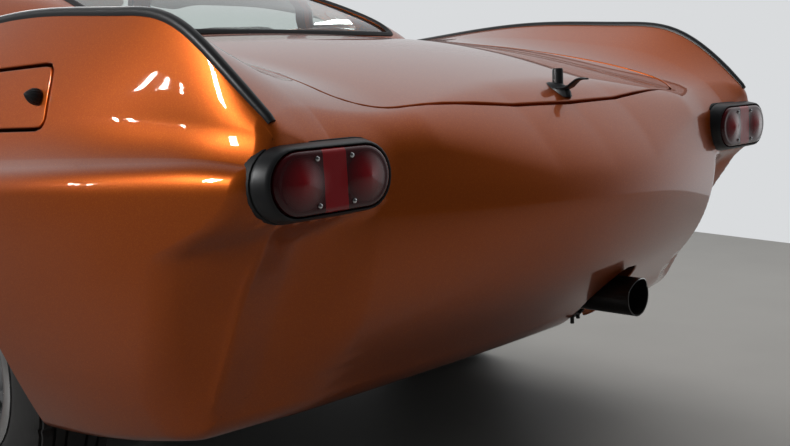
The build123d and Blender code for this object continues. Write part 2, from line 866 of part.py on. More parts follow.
# Door handles, each a bar on two feet
for side, name in ((1, "left"), (-1, "right")):
    with BuildPart() as door_handle:
        bar_x = sorted((side * (handle_out_x - handle_bar), side * handle_out_x))
        bar_z = (handle_z - handle_bar / 2, handle_z + handle_bar / 2)
        block(bar_x, (handle_front_y, handle_rear_y), bar_z)
        fillet(edges().filter_by(Axis.Y), handle_bar / 3)
        foot_x = sorted((side * cabin_half_width, side * (handle_out_x - handle_bar / 2)))
        for foot_y in (handle_front_y, handle_rear_y - handle_foot):
            block(foot_x, (foot_y, foot_y + handle_foot), bar_z)
        add(body, mode=Mode.SUBTRACT)
    finish(door_handle.part, f"door_handle_{name}")

# The boot lid's handle: a pad, an upright lock barrel and a pull lip
with BuildPart() as boot_handle:
    handle_x = (boot_handle_x - boot_handle_half_width, boot_handle_x + boot_handle_half_width)
    pad_x = (boot_handle_x - boot_handle_pad, boot_handle_x + boot_handle_pad)
    pad_y = (boot_handle_y - boot_handle_depth / 2, boot_handle_y + boot_handle_depth / 2)
    block(pad_x, pad_y, (boot_handle_low_z, boot_handle_high_z))
    block(handle_x, pad_y, (boot_handle_high_z - boot_handle_lip, boot_handle_high_z))
    with Locations((boot_handle_x, boot_handle_y, boot_handle_high_z)):
        Cylinder(boot_barrel_radius, boot_barrel_height, align=(Align.CENTER, Align.CENTER, Align.MIN))
    add(body, mode=Mode.SUBTRACT)
finish(boot_handle.part, "boot_handle")

# The floor with its tunnel, bulkheads and rails
with BuildPart() as floor_pan:
    for side in (-1, 1):
        step_y = (cabin_narrow_y - sheet, cabin_narrow_y)
        block(both(side, tunnel_half_width, cabin_half_width), (footwell_front_y, cabin_narrow_y),
              (floor_bottom_z, floor_top_z))
        block(both(side, tunnel_half_width, tunnel_half_width + sheet), (footwell_front_y, cabin_narrow_y),
              (floor_bottom_z, tunnel_top_z))
        block(both(side, tunnel_half_width, cabin_half_width), step_y, (floor_bottom_z, rear_floor_z))
        block(both(side, tunnel_half_width, bay_half_width), (footwell_front_y - sheet, footwell_front_y),
              (floor_bottom_z, bay_top_z))
        rear_rail_x = both(side, rear_cabin_half_width - rail_width, rear_cabin_half_width)
        block(rear_rail_x, (cabin_narrow_y, cabin_rear_y), (rail_low_z, rear_floor_z))
        block(rear_rail_x, (cabin_rear_y, valance_y), (rail_low_z, boot_floor_z))
        front_rail_x = both(side, bay_half_width - rail_width, bay_half_width)
        block(front_rail_x, (bay_front_y, footwell_front_y - sheet), (front_rail_low_z, front_rail_high_z))
        block(both(side, engine_half_width + running_gap, bay_half_width - rail_width),
              (engine_mount_y - engine_mount_half_length, engine_mount_y + engine_mount_half_length),
              (front_rail_low_z, front_rail_high_z))
    tunnel_x = (-tunnel_half_width - sheet, tunnel_half_width + sheet)
    block(tunnel_x, (footwell_front_y - sheet, cabin_narrow_y), (tunnel_top_z, tunnel_top_z + sheet))
    block((-tunnel_half_width, tunnel_half_width), (footwell_front_y - sheet, footwell_front_y),
          (tunnel_top_z, bay_top_z))
    block((-tunnel_half_width, tunnel_half_width), step_y, (tunnel_top_z, rear_floor_z))
    block(full_x, (footwell_front_y, bonnet_hinge_y), (bay_top_z - sheet, bay_top_z))
    block(rear_x, (cabin_narrow_y - sheet, cabin_rear_y), (rear_floor_z, rear_floor_z + sheet))
    block(rear_x, (cabin_rear_y - sheet, cabin_rear_y), (boot_floor_z - sheet, rear_floor_z + sheet))
    block(under_x, (cabin_rear_y, valance_y), (boot_floor_z - sheet, boot_floor_z))
    for side in (-1, 1):
        arch_x = side * (rear_arch_depth_x + far / 2)
        with Locations(Location((arch_x, rear_axle_y, tyre_radius), (0, 90, 0))):
            Cylinder(arch_radius, far, mode=Mode.SUBTRACT)
        for jack_y in (jack_front_y, jack_rear_y):
            block(both(side, jack_x - jack_half_size, jack_x + jack_half_size),
                  (jack_y - jack_half_size, jack_y + jack_half_size), (jack_z, floor_bottom_z))
finish(floor_pan.part, "floor_pan")

# The engine as one block, and the gearbox with the shaft to the rear axle
with BuildPart() as engine:
    engine_x = (-engine_half_width, engine_half_width)
    block(engine_x, (engine_front_y, engine_rear_y), (engine_low_z, engine_high_z))
finish(engine.part, "engine")

with BuildPart() as driveline:
    for start_y, end_y, radius in (
            (engine_rear_y, gearbox_end_y, gearbox_radius),
            (gearbox_end_y, rear_axle_y - axle_casing_radius / 2, shaft_radius)):
        with Locations(Location((0, start_y, tyre_radius), (-90, 0, 0))):
            Cylinder(radius, end_y - start_y, align=(Align.CENTER, Align.CENTER, Align.MIN))
    with Locations((0, rear_axle_y, tyre_radius)):
        Sphere(axle_casing_radius + running_gap, mode=Mode.SUBTRACT)
finish(driveline.part, "driveline")

# The front crossmember with the arms that carry the kingpins
with BuildPart() as crossmember:
    arm_y = (front_axle_y - arm_half_width, front_axle_y + arm_half_width)
    beam_x = (-crossmember_half_width, crossmember_half_width)
    low_z = (kingpin_low_z - arm_thickness - running_gap, kingpin_low_z - running_gap)
    high_z = (kingpin_high_z + running_gap, kingpin_high_z + arm_thickness + running_gap)
    block(beam_x, arm_y, low_z)
    arm_end_x = kingpin_x + kingpin_radius
    for side in (-1, 1):
        tower_x = sorted((side * (crossmember_half_width - tower_width), side * crossmember_half_width))
        block(tower_x, arm_y, (low_z[0], high_z[1]))
        arm_x = sorted((side * (crossmember_half_width - tower_width), side * arm_end_x))
        for limits_z in (low_z, high_z):
            block(arm_x, arm_y, limits_z)
finish(crossmember.part, "front_crossmember")

# Steering knuckles with kingpin, stub axle and brake disc
for side, name in ((1, "left"), (-1, "right")):
    with BuildPart() as knuckle:
        with Locations((side * kingpin_x, front_axle_y, (kingpin_low_z + kingpin_high_z) / 2)):
            Cylinder(kingpin_radius, kingpin_high_z - kingpin_low_z)
        for start_x, end_x, radius in (
                (kingpin_x, brake_x, stub_radius),
                (brake_x, brake_x + brake_width, brake_radius),
                (brake_x, hub_end_x, hub_radius)):
            with Locations(Location((side * (start_x + end_x) / 2, front_axle_y, tyre_radius), (0, 90, 0))):
                Cylinder(radius, end_x - start_x)
    finish(knuckle.part, f"knuckle_{name}")

# The rear axle with its casing, brake drums and hubs
with BuildPart() as rear_axle:
    with Locations(Location((0, rear_axle_y, tyre_radius), (0, 90, 0))):
        Cylinder(axle_tube_radius, 2 * brake_x)
        Sphere(axle_casing_radius)
    for side in (-1, 1):
        for start_x, end_x, radius in (
                (brake_x - drum_width / 2, brake_x + drum_width / 2, brake_radius),
                (brake_x, hub_end_x, hub_radius)):
            with Locations(Location((side * (start_x + end_x) / 2, rear_axle_y, tyre_radius), (0, 90, 0))):
                Cylinder(radius, end_x - start_x)
finish(rear_axle.part, "rear_axle")

# Wheels: a tyre on a rim with a disc, round slots and a domed cap
for axle_y, place in ((front_axle_y, "front"), (rear_axle_y, "rear")):
    for side, name in ((1, "left"), (-1, "right")):
        spin_axis = Axis((0, axle_y, tyre_radius), (1, 0, 0))
        with BuildPart() as tyre:
            with BuildSketch(Plane.XY.offset(tyre_radius)):
                with Locations((side * wheel_x, axle_y - (tyre_radius + rim_radius) / 2)):
                    Rectangle(tyre_width, tyre_radius - rim_radius)
                fillet(vertices().group_by(Axis.Y)[0], tyre_shoulder)
            revolve(axis=spin_axis, revolution_arc=360)
        finish(tyre.part, f"tyre_{place}_{name}")
        with BuildPart() as rim:
            with BuildSketch(Plane.XY.offset(tyre_radius)):
                with Locations((side * wheel_x, axle_y - rim_radius + rim_wall / 2)):
                    Rectangle(rim_width, rim_wall)
                with Locations((side * (wheel_x + rim_face_x + rim_wall / 2), axle_y - rim_radius / 2)):
                    Rectangle(rim_wall, rim_radius)
            revolve(axis=spin_axis, revolution_arc=360)
            disc_x = wheel_x + rim_face_x
            with Locations(Location((side * disc_x, axle_y, tyre_radius), (0, 90 * side, 0))):
                with PolarLocations(rim_slot_circle, rim_slots):
                    Cylinder(rim_slot_radius, 4 * rim_wall, mode=Mode.SUBTRACT)
            cap_radius = (hub_cap_radius**2 + hub_cap_height**2) / (2 * hub_cap_height)
            cap_start_x = disc_x + rim_wall
            with BuildSketch(Plane.XY.offset(tyre_radius)):
                with BuildLine():
                    cap_y = axle_y - hub_cap_radius
                    Line((side * disc_x, axle_y), (side * disc_x, cap_y))
                    Line((side * disc_x, cap_y), (side * cap_start_x, cap_y))
                    RadiusArc(
                        (side * cap_start_x, cap_y),
                        (side * (cap_start_x + hub_cap_height), axle_y),
                        side * -cap_radius,
                    )
                    Line((side * (cap_start_x + hub_cap_height), axle_y), (side * disc_x, axle_y))
                make_face()
            revolve(axis=spin_axis, revolution_arc=360)
        finish(rim.part, f"rim_{place}_{name}")

# The exhaust: a wide tail pipe, a silencer and the pipe that runs forward
with BuildPart() as exhaust:
    with BuildLine():
        pipe_path = FilletPolyline(
            (exhaust_x, silencer_front_y, silencer_z),
            (exhaust_x - exhaust_bend_x, rear_axle_y + exhaust_arch_y, exhaust_arch_z),
            (exhaust_x - exhaust_bend_x, rear_axle_y - exhaust_arch_y, exhaust_low_z),
            (exhaust_x, manifold_y, exhaust_low_z),
            (exhaust_x, manifold_y, engine_low_z - running_gap),
            radius=exhaust_bend_radius,
        )
    with BuildSketch(Plane(origin=pipe_path @ 0, z_dir=pipe_path % 0)):
        Circle(exhaust_pipe_radius)
    sweep()
    for start_y, end_y, z, radius in (
            (silencer_front_y - 1, silencer_rear_y, silencer_z, silencer_radius),
            (silencer_rear_y - 1, exhaust_tip_y + 1, exhaust_z, exhaust_pipe_radius),
            (exhaust_tip_y, exhaust_end_y, exhaust_z, exhaust_radius)):
        with Locations(Location((exhaust_x, start_y, z), (-90, 0, 0))):
            Cylinder(radius, end_y - start_y, align=(Align.CENTER, Align.CENTER, Align.MIN))
    with Locations(Location((exhaust_x, exhaust_end_y - exhaust_bore_depth, exhaust_z), (-90, 0, 0))):
        Cylinder(
            exhaust_radius - exhaust_wall, 2 * exhaust_bore_depth,
            align=(Align.CENTER, Align.CENTER, Align.MIN), mode=Mode.SUBTRACT)
finish(exhaust.part, "exhaust")

with BuildPart() as fuel_tank:
    tank_x = (tank_inner_x, tank_outer_x)
    block(tank_x, (silencer_front_y, silencer_rear_y), (tank_low_z, boot_floor_z - sheet))
    fillet(edges().filter_by(Axis.Y), sheet)
finish(fuel_tank.part, "fuel_tank")


def side_profile(corners, x_limits, radius):
    """A rounded outline seen from the side, drawn out along X in the open part."""
    inner_x, outer_x = x_limits
    with BuildPart() as piece:
        with BuildSketch(Plane.YZ.offset(inner_x)):
            with BuildLine():
                Polyline(*corners, close=True)
            make_face()
            fillet(vertices(), radius)
        extrude(amount=outer_x - inner_x)
    return piece.part


# Seats, rear bench and dashboard
seat_corners = [
    (seat_front_y, floor_top_z),
    (seat_rear_y, floor_top_z),
    (seat_rear_y + 16, seat_top_z - 50),
    (seat_rear_y + 140, seat_back_z - 30),
    (seat_rear_y + 50, seat_back_z),
    (seat_rear_y - 75, seat_top_z - 20),
    (seat_front_y - 6, seat_top_z),
]
with BuildPart() as seats:
    for side in (-1, 1):
        seat_limits = (side * seat_x - seat_half_width, side * seat_x + seat_half_width)
        add(side_profile(seat_corners, seat_limits, seat_edge))
finish(seats.part, "seats")

bench_floor_z = rear_floor_z + sheet
bench_corners = [
    (cabin_narrow_y, bench_floor_z),
    (cabin_rear_y, bench_floor_z),
    (cabin_rear_y, bench_back_z),
    (cabin_rear_y - bench_back_thickness, bench_back_z),
    (cabin_rear_y - bench_back_thickness - 70, bench_top_z - 10),
    (cabin_narrow_y - 10, bench_top_z),
]
with BuildPart() as rear_bench:
    add(side_profile(bench_corners, (-rear_cabin_half_width, rear_cabin_half_width), seat_edge))
finish(rear_bench.part, "rear_bench")

dash_corners = [
    (dash_wall_y, dash_low_z),
    (dash_wall_y, cabin_roof_z),
    (shelf_rear_y, cabin_roof_z),
    (shelf_rear_y + 16, cabin_roof_z - 60),
    (shelf_rear_y - 30, dash_low_z),
]
hand_plane = Plane(
    origin=(seat_x, wheel_hand_y, wheel_hand_z), x_dir=(1, 0, 0),
    z_dir=(0, -cos(radians(column_drop)), -sin(radians(column_drop))))
with BuildPart(hand_plane) as column_bore:
    Cylinder(column_radius + running_gap, column_length + 1, align=(Align.CENTER, Align.CENTER, Align.MIN))

with BuildPart() as dashboard:
    dash_half_width = cabin_half_width - panel_gap
    add(side_profile(dash_corners, (-dash_half_width, dash_half_width), dash_edge))
    add(column_bore.part, mode=Mode.SUBTRACT)
finish(dashboard.part, "dashboard")

# The steering wheel on its column, which ends inside the dashboard
with BuildPart(hand_plane) as steering_wheel:
    Torus(wheel_hand_radius, wheel_hand_grip)
    Box(2 * wheel_hand_radius, 2 * wheel_hand_grip, wheel_hand_grip / 2)
    Cylinder(3 * wheel_hand_grip, 2 * wheel_hand_grip)
    Cylinder(column_radius, column_length, align=(Align.CENTER, Align.CENTER, Align.MIN))
finish(steering_wheel.part, "steering_wheel")
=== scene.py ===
import math

import bpy
import numpy as np
from mathutils import Matrix, Vector


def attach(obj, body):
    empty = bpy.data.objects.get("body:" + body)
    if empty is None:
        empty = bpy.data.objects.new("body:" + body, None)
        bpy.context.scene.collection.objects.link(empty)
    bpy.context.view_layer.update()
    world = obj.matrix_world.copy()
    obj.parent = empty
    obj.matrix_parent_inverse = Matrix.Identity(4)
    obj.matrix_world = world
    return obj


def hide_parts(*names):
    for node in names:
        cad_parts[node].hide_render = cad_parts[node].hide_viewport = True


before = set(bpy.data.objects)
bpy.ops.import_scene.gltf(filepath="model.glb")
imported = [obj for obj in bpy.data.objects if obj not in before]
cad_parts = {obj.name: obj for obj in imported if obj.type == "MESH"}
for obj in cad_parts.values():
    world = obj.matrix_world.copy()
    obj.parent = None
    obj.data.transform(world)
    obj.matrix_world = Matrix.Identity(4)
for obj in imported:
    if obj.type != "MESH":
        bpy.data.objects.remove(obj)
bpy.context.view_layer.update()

# Painted body
# The outer skin is pressed steel panels, welded together and filled at the seams, so that
# the shell shows one surface with openings. It is sprayed in a coppery orange with fine
# aluminium flakes under a thick clear lacquer, which gives it sharp reflections.

# One cross section a row, in mm: y, z_bottom, x_bottom, x_flank, z_flank, x_ledge, z_ledge,
# x_root, z_root, x_crest, z_crest, x_foot, z_foot, z_deck
BODY_ROWS = np.array([
    (-2150, 400, 560, 690, 480, 720, 580, 716, 610, 660, 655, 440, 672, 680),
    (-1950, 325, 610, 740, 460, 778, 600, 774, 665, 690, 765, 520, 775, 785),
    (-1750, 285, 660, 790, 450, 812, 605, 805, 710, 715, 812, 540, 818, 835),
    (-1385, 260, 700, 815, 450, 834, 620, 822, 740, 722, 847, 560, 848, 872),
    (-900, 215, 730, 826, 450, 844, 640, 828, 770, 730, 880, 600, 888, 912),
    (-500, 200, 740, 832, 450, 847, 650, 830, 785, 735, 900, 640, 912, 935),
    (0, 195, 745, 834, 450, 849, 658, 830, 790, 735, 918, 640, 928, 945),
    (500, 200, 745, 834, 450, 848, 668, 822, 788, 730, 932, 640, 936, 955),
    (1065, 218, 735, 828, 450, 842, 682, 795, 765, 706, 953, 560, 940, 960),
    (1450, 240, 730, 808, 450, 826, 694, 764, 752, 694, 960, 500, 896, 916),
    (1714, 272, 700, 776, 460, 800, 702, 738, 752, 690, 938, 485, 844, 864),
    (1863, 302, 660, 742, 470, 772, 706, 718, 748, 688, 906, 480, 804, 828),
    (1960, 325, 620, 712, 480, 750, 706, 706, 742, 684, 836, 480, 774, 802),
    (2130, 350, 520, 640, 500, 690, 690, 660, 705, 640, 660, 470, 712, 748),
], float)

# The outline seen from above at one height a row, in mm: z, then the tail's y at the middle,
# side, valley, ridge and corner, then the nose's y at the middle, side, lamp and corner
PLAN_ROWS = np.array([
    (150, 1860, 1835, 1800, 1770, 1660, -1960, -1935, -1870, -1780),
    (330, 1928, 1890, 1850, 1839, 1730, -2060, -2030, -1950, -1850),
    (446, 2046, 1985, 1910, 1905, 1808, -2112, -2078, -1985, -1880),
    (530, 2098, 2028, 1950, 1948, 1855, -2123, -2090, -1998, -1890),
    (620, 2120, 2042, 2000, 2009, 1912, -2125, -2090, -2005, -1895),
    (690, 2100, 2036, 2024, 2030, 1980, -2105, -2070, -2000, -1895),
    (760, 2072, 2030, 2026, 2034, 1985, -2060, -2030, -1985, -1890),
    (1050, 2072, 2030, 2026, 2034, 1985, -2060, -2030, -1985, -1890),
], float)
TAIL_X = np.array([0, 500, 615, 670, 682, 756, 950], float)
NOSE_X = np.array([0, 400, 620, 745, 950], float)
SIDE_Y = 1500.0
FRONT_AXLE_Y, REAR_AXLE_Y, AXLE_Z = -1385, 1065, 315
HEADLAMP_X, HEADLAMP_Z = 600, 640
PIPE_X, PIPE_Z = -185.0, 376.0
SIDES = ((1, "left"), (-1, "right"))


def smooth_columns(rows, at):
    """Each column of a table on a natural cubic spline through its rows."""
    knots, values = rows[:, 0], rows[:, 1:]
    h = np.diff(knots)
    count = len(knots)
    system = np.eye(count)
    right = np.zeros_like(values)
    for i in range(1, count - 1):
        system[i, i - 1 : i + 2] = h[i - 1], 2 * (h[i - 1] + h[i]), h[i]
        right[i] = 6 * ((values[i + 1] - values[i]) / h[i] - (values[i] - values[i - 1]) / h[i - 1])
    bend = np.linalg.solve(system, right)
    at = np.asarray(at, float)
    i = np.clip(np.searchsorted(knots, at) - 1, 0, count - 2)
    a = ((knots[i + 1] - at) / h[i])[..., None]
    b = 1 - a
    w = (h[i] ** 2 / 6)[..., None]
    return a * values[i] + b * values[i + 1] + w * ((a**3 - a) * bend[i] + (b**3 - b) * bend[i + 1])


def ease_between(xs, values, slopes, x):
    """A cubic curve through points with given slopes; values may hold a row for each x."""
    x = np.clip(x, xs[0], xs[-1])
    i = np.clip(np.searchsorted(xs, x) - 1, 0, len(xs) - 2)
    rows = np.arange(len(x))
    h = xs[i + 1] - xs[i]
    t = (x - xs[i]) / h
    v0, v1 = values[rows, i], values[rows, i + 1]
    m0, m1 = slopes[rows, i] * h, slopes[rows, i + 1] * h
    return (
        (2 * t**3 - 3 * t**2 + 1) * v0 + (t**3 - 2 * t**2 + t) * m0
        + (3 * t**2 - 2 * t**3) * v1 + (t**3 - t**2) * m1
    )


def lamp_pod(x, z):
    """The y of the raised seat round a tail lamp, which falls away outside the lamp's outline."""
    across, up = np.maximum(np.abs(x - 594) - 66, 0), z - 685
    away = np.hypot(across, up)
    below = np.where(up < 0, -up, 0) / np.maximum(away, 1)
    away = np.maximum(away - 51, 0)
    return 2032 - away * (0.45 + 0.9 * below) - away**2 * (0.004 + 0.008 * below)


def end_surface(x, z, tail):
    """The y of the rounded tail or nose, seen from behind or in front."""
    x, z = np.abs(np.ravel(x)), np.ravel(z)
    plan = smooth_columns(PLAN_ROWS, np.clip(z, PLAN_ROWS[0, 0], PLAN_ROWS[-1, 0]))
    if tail:
        past_ridge = plan[:, 3] + 0.14 * (plan[:, 4] - plan[:, 3])
        values = np.column_stack([plan[:, 0:4], past_ridge, plan[:, 4], np.full(len(x), SIDE_Y)])
        xs = TAIL_X
    else:
        values = np.column_stack([plan[:, 5:9], np.full(len(x), -SIDE_Y)])
        xs = NOSE_X
    chords = np.diff(values, axis=1) / np.diff(xs)
    slopes = np.zeros_like(values)
    for i in range(1, len(xs) - 1):
        before, after = chords[:, i - 1], chords[:, i]
        same = before * after > 0
        slopes[:, i] = np.where(same, 2 * before * after / np.where(same, before + after, 1), 0)
    slopes[:, 1] = 1.6 * chords[:, 0]
    slopes[:, -1] = chords[:, -1]
    plain = ease_between(xs, values, slopes, x)
    if not tail:
        return plain
    pod = lamp_pod(x, z)
    return np.maximum(plain, pod) + np.maximum(20 - np.abs(plain - pod), 0) ** 2 / 80


def cross_sections(y):
    """The painted skin's cross sections at many y, from the bottom's middle round to the deck's
    middle: an array of columns by stations by x and z, and where each column lies, 0 to 6."""
    (z_bottom, x_bottom, x_flank, z_flank, x_ledge, z_ledge, x_root, z_root,
     x_crest, z_crest, x_foot, z_foot, z_deck) = smooth_columns(BODY_ROWS, y).T
    middle = np.zeros_like(x_foot)
    corners = [np.stack(p, -1) for p in (
        (middle, z_bottom), (x_bottom, z_bottom), (x_ledge, z_ledge), (x_root, z_root),
        (x_crest, z_crest), (x_foot, z_foot), (middle, z_deck))]
    flank = np.stack([x_flank, z_flank], -1)
    rounding = (0, 26, 26, 60, 12, 150, 0)
    counts = (12, 24, 7, 12, 16, 32)
    corner_steps = (0, 5, 6, 10, 6, 10)
    rises = (0, 0, 6, -4, 5, 0)

    def along(i, t):
        a, b, s = corners[i], corners[i + 1], t[:, None]
        if i == 1:
            pull = 2 * flank - (a + b) / 2
            return (1 - s) ** 2 * a + 2 * s * (1 - s) * pull + s**2 * b
        if i == 5:
            x = a[:, 0] * (1 - t)
            return np.stack([x, b[:, 1] - (b[:, 1] - a[:, 1]) * (1 - t) ** 2], -1)
        way = b - a
        left = np.stack([-way[:, 1], way[:, 0]], -1) / np.linalg.norm(way, axis=-1, keepdims=True)
        return a + way * s + left * 4 * rises[i] * s * (1 - s)

    lengths = [np.linalg.norm(b - a, axis=-1) for a, b in zip(corners, corners[1:])]
    columns, places = [], []
    for i, count in enumerate(counts):
        length = lengths[i]
        before = lengths[i - 1] if i else length
        after = lengths[i + 1] if i < 5 else length
        start = np.minimum(rounding[i], 0.45 * np.minimum(length, before)) / length
        end = np.minimum(rounding[i + 1], 0.45 * np.minimum(length, after)) / length
        first = along(i, start)
        if i:
            last, turn = columns[-1], corners[i]
            for s in np.linspace(0, 1, corner_steps[i] + 2)[1:-1]:
                columns.append((1 - s) ** 2 * last + 2 * s * (1 - s) * turn + s**2 * first)
                places.append(i)
        for s in np.linspace(0, 1, count):
            columns.append(along(i, start + (1 - end - start) * s))
            places.append(i + s)
    return np.array(columns), np.array(places)


def column_points(sections, stations, y):
    """Where every column of the sections lies at its own y."""
    step = stations[1] - stations[0]
    place = np.clip((y - stations[0]) / step, 0, len(stations) - 1.001)
    i = place.astype(int)
    t = (place - i)[..., None]
    rows = np.arange(len(sections))[(slice(None),) + (None,) * (y.ndim - 1)]
    return sections[rows, i] * (1 - t) + sections[rows, i + 1] * t


def rounded_end(sections, stations, places, tail, rings):
    """The rounded end of the body: rings that run from the side round onto the tail or nose."""
    facing = 1 if tail else -1
    radii = np.interp(places, (0, 1, 2, 3, 4, 5, 5.6, 6), (28, 28, 9, 9, 12, 45, 110, 120))
    if not tail:
        radii = np.interp(places, (0, 2, 4, 5, 6), (30, 30, 20, 40, 90))
    y = np.full(len(places), facing * 1900.0)
    for _ in range(80):
        xz = column_points(sections, stations, y)
        y += 0.3 * (end_surface(xz[:, 0], xz[:, 1], tail) - facing * radii - y)
    start_y = y.copy()
    xz = column_points(sections, stations, y)
    way = np.gradient(xz, axis=0)
    way[0], way[-1] = (1, 0), (-1, 0)
    inward = np.stack([-way[:, 1], way[:, 0]], -1) / np.linalg.norm(way, axis=-1, keepdims=True)
    fillet = []
    for turn in np.linspace(0, math.pi / 2, rings)[1:]:
        for _ in range(12):
            here = column_points(sections, stations, y) + inward * (radii * (1 - math.cos(turn)))[:, None]
            goal = end_surface(here[:, 0], here[:, 1], tail) - facing * radii * (1 - math.sin(turn))
            y += 0.4 * (goal - y)
        fillet.append(np.column_stack([here[:, 0], y, here[:, 1]]))
    return start_y, fillet


stations = np.arange(-2150.0, 2151.0, 10.0)
sections, places = cross_sections(stations)
tail_start, tail_edge = rounded_end(sections, stations, places, True, 9)
nose_start, nose_edge = rounded_end(sections, stations, places, False, 9)
rings = nose_edge[::-1]
for share in np.linspace(0, 1, 22)[:-1]:
    y = nose_start + (-1500 - nose_start) * share
    xz = column_points(sections, stations, y)
    rings.append(np.column_stack([xz[:, 0], y, xz[:, 1]]))
for level in np.linspace(-1500, 1300, 106):
    y = np.full(len(places), level)
    xz = column_points(sections, stations, y)
    rings.append(np.column_stack([xz[:, 0], y, xz[:, 1]]))
for share in np.linspace(0, 1, 36)[1:]:
    y = 1300 + (tail_start - 1300) * share
    xz = column_points(sections, stations, y)
    rings.append(np.column_stack([xz[:, 0], y, xz[:, 1]]))
rings = np.array(rings + tail_edge)


def grid_quads(numbers, keep=None):
    """Quads between the neighbours in a grid of point numbers."""
    a, b, c, d = numbers[:-1, :-1], numbers[:-1, 1:], numbers[1:, 1:], numbers[1:, :-1]
    quads = np.stack([a, d, c, b], -1)
    return quads[keep] if keep is not None else quads.reshape(-1, 4)


def both_halves(points, quads):
    """A left half and its mirror image as one mesh that shares the points in the middle."""
    both = np.concatenate([points, points * (-1, 1, 1)])
    partner = np.arange(len(both))
    middle = np.nonzero(np.abs(points[:, 0]) < 1e-6)[0]
    partner[len(points) + middle] = middle
    return both, partner[np.concatenate([quads, quads[:, ::-1] + len(points)])]


def face_normals(points, quads):
    """Normals of the points of a mesh of quads, each averaged over the faces round it."""
    a, b, c, d = (points[quads[:, i]] for i in range(4))
    across = np.cross(c - a, d - b)
    normals = np.zeros_like(points)
    for i in range(4):
        np.add.at(normals, quads[:, i], across)
    lengths = np.linalg.norm(normals, axis=1, keepdims=True)
    return normals / np.where(lengths > 1e-12, lengths, 1)


# The underside is open: only a lip of the bottom stays between the nose and the tail.
ring_count, column_count = rings.shape[:2]
kept_quads = np.ones((ring_count - 1, column_count - 1), bool)
kept_quads[8:-8, :10] = False
half_points = [rings.reshape(-1, 3)]
point_count = ring_count * column_count
half_quads = [grid_quads(np.arange(point_count).reshape(ring_count, column_count), kept_quads)]
end_faces = []
for tail, ring in ((False, 0), (True, ring_count - 1)):
    # The face of the nose or tail is a grid from the lower half of its edge to the upper.
    edge_numbers = ring * column_count + np.arange(column_count)
    lower, upper = rings[ring, : column_count // 2], rings[ring, : column_count // 2 - 1 : -1]
    rows = [edge_numbers[: column_count // 2]]
    bow = 0 if tail else 0.3 * np.linalg.norm(upper - lower, axis=1) / lower[:, 0].max()
    for share in np.linspace(0, 1, 64 if tail else 40)[1:-1]:
        xz = lower[:, [0, 2]] * (1 - share) + upper[:, [0, 2]] * share
        xz[:, 0] *= 1 - 4 * share * (1 - share) * bow
        half_points.append(np.column_stack([xz[:, 0], end_surface(xz[:, 0], xz[:, 1], tail), xz[:, 1]]))
        rows.append(point_count + np.arange(len(lower)))
        point_count += len(lower)
    rows.append(edge_numbers[: column_count // 2 - 1 : -1])
    numbers = np.array(rows)
    quads = grid_quads(numbers)
    half_quads.append(quads if tail else quads[:, ::-1])
    end_faces.append((tail, numbers))
half_points = np.concatenate(half_points)
skin_points, skin_quads = both_halves(half_points, np.concatenate(half_quads))
skin_normals = face_normals(skin_points, skin_quads)
for tail, numbers in end_faces:
    facing = 1 if tail else -1
    numbers = numbers.ravel()
    x, z = half_points[numbers, 0], half_points[numbers, 2]
    tilt_x = (end_surface(x + 1, z, tail) - end_surface(np.maximum(x - 1, 0), z, tail)) / 2
    tilt_z = (end_surface(x, z + 1, tail) - end_surface(x, z - 1, tail)) / 2
    normal = np.column_stack([-facing * tilt_x, np.full(len(x), facing), -facing * tilt_z])
    normal /= np.linalg.norm(normal, axis=1, keepdims=True)
    normal[x < 1e-6, 0] = 0
    skin_normals[numbers] = normal
    skin_normals[numbers + len(half_points)] = normal * (-1, 1, 1)
skin = (skin_points, skin_normals, skin_quads.tolist())


def slope_of(field, points):
    """The direction in which a field grows fastest at each point."""
    step = 0.5
    slope = np.zeros_like(points)
    for axis in range(3):
        shift = np.zeros(3)
        shift[axis] = step
        slope[:, axis] = field(*(points + shift).T) - field(*(points - shift).T)
    return slope / (2 * step)


def cut(surface, field, level):
    """The faces of a surface where a field is below a level, with the points and edges of the cut."""
    points, normals, faces = surface
    height = field(*points.T) - level
    inside = height < 0
    points, normals = list(points), list(normals)
    cut_points, kept, edges = {}, [], []
    for face in faces:
        flags = [inside[i] for i in face]
        if all(flags):
            kept.append(face)
        if all(flags) or not any(flags):
            continue
        outline, leaving, entering = [], None, None
        for k, i in enumerate(face):
            j = face[(k + 1) % len(face)]
            if inside[i]:
                outline.append(i)
            if inside[i] != inside[j]:
                key = (min(i, j), max(i, j))
                if key not in cut_points:
                    t = height[i] / (height[i] - height[j])
                    cut_points[key] = len(points)
                    points.append(points[i] * (1 - t) + points[j] * t)
                    normals.append(normals[i] * (1 - t) + normals[j] * t)
                outline.append(cut_points[key])
                if inside[i]:
                    leaving = cut_points[key]
                else:
                    entering = cut_points[key]
        if len(outline) > 2:
            kept.append(outline)
            edges.append((leaving, entering))
    points, normals = np.array(points), np.array(normals)
    rim = np.array(sorted(set(cut_points.values())), int)
    outward = np.zeros((len(rim), 3))
    if len(rim):
        normals[rim] /= np.linalg.norm(normals[rim], axis=1, keepdims=True)
        for _ in range(2):
            outward = slope_of(field, points[rim])
            outward -= normals[rim] * (outward * normals[rim]).sum(1, keepdims=True)
            size = np.maximum((outward**2).sum(1), 1e-3)
            miss = np.clip((field(*points[rim].T) - level) / size, -3, 3)
            points[rim] -= outward * miss[:, None]
        outward /= np.sqrt(size)[:, None]
    return points, normals, kept, edges, rim, outward


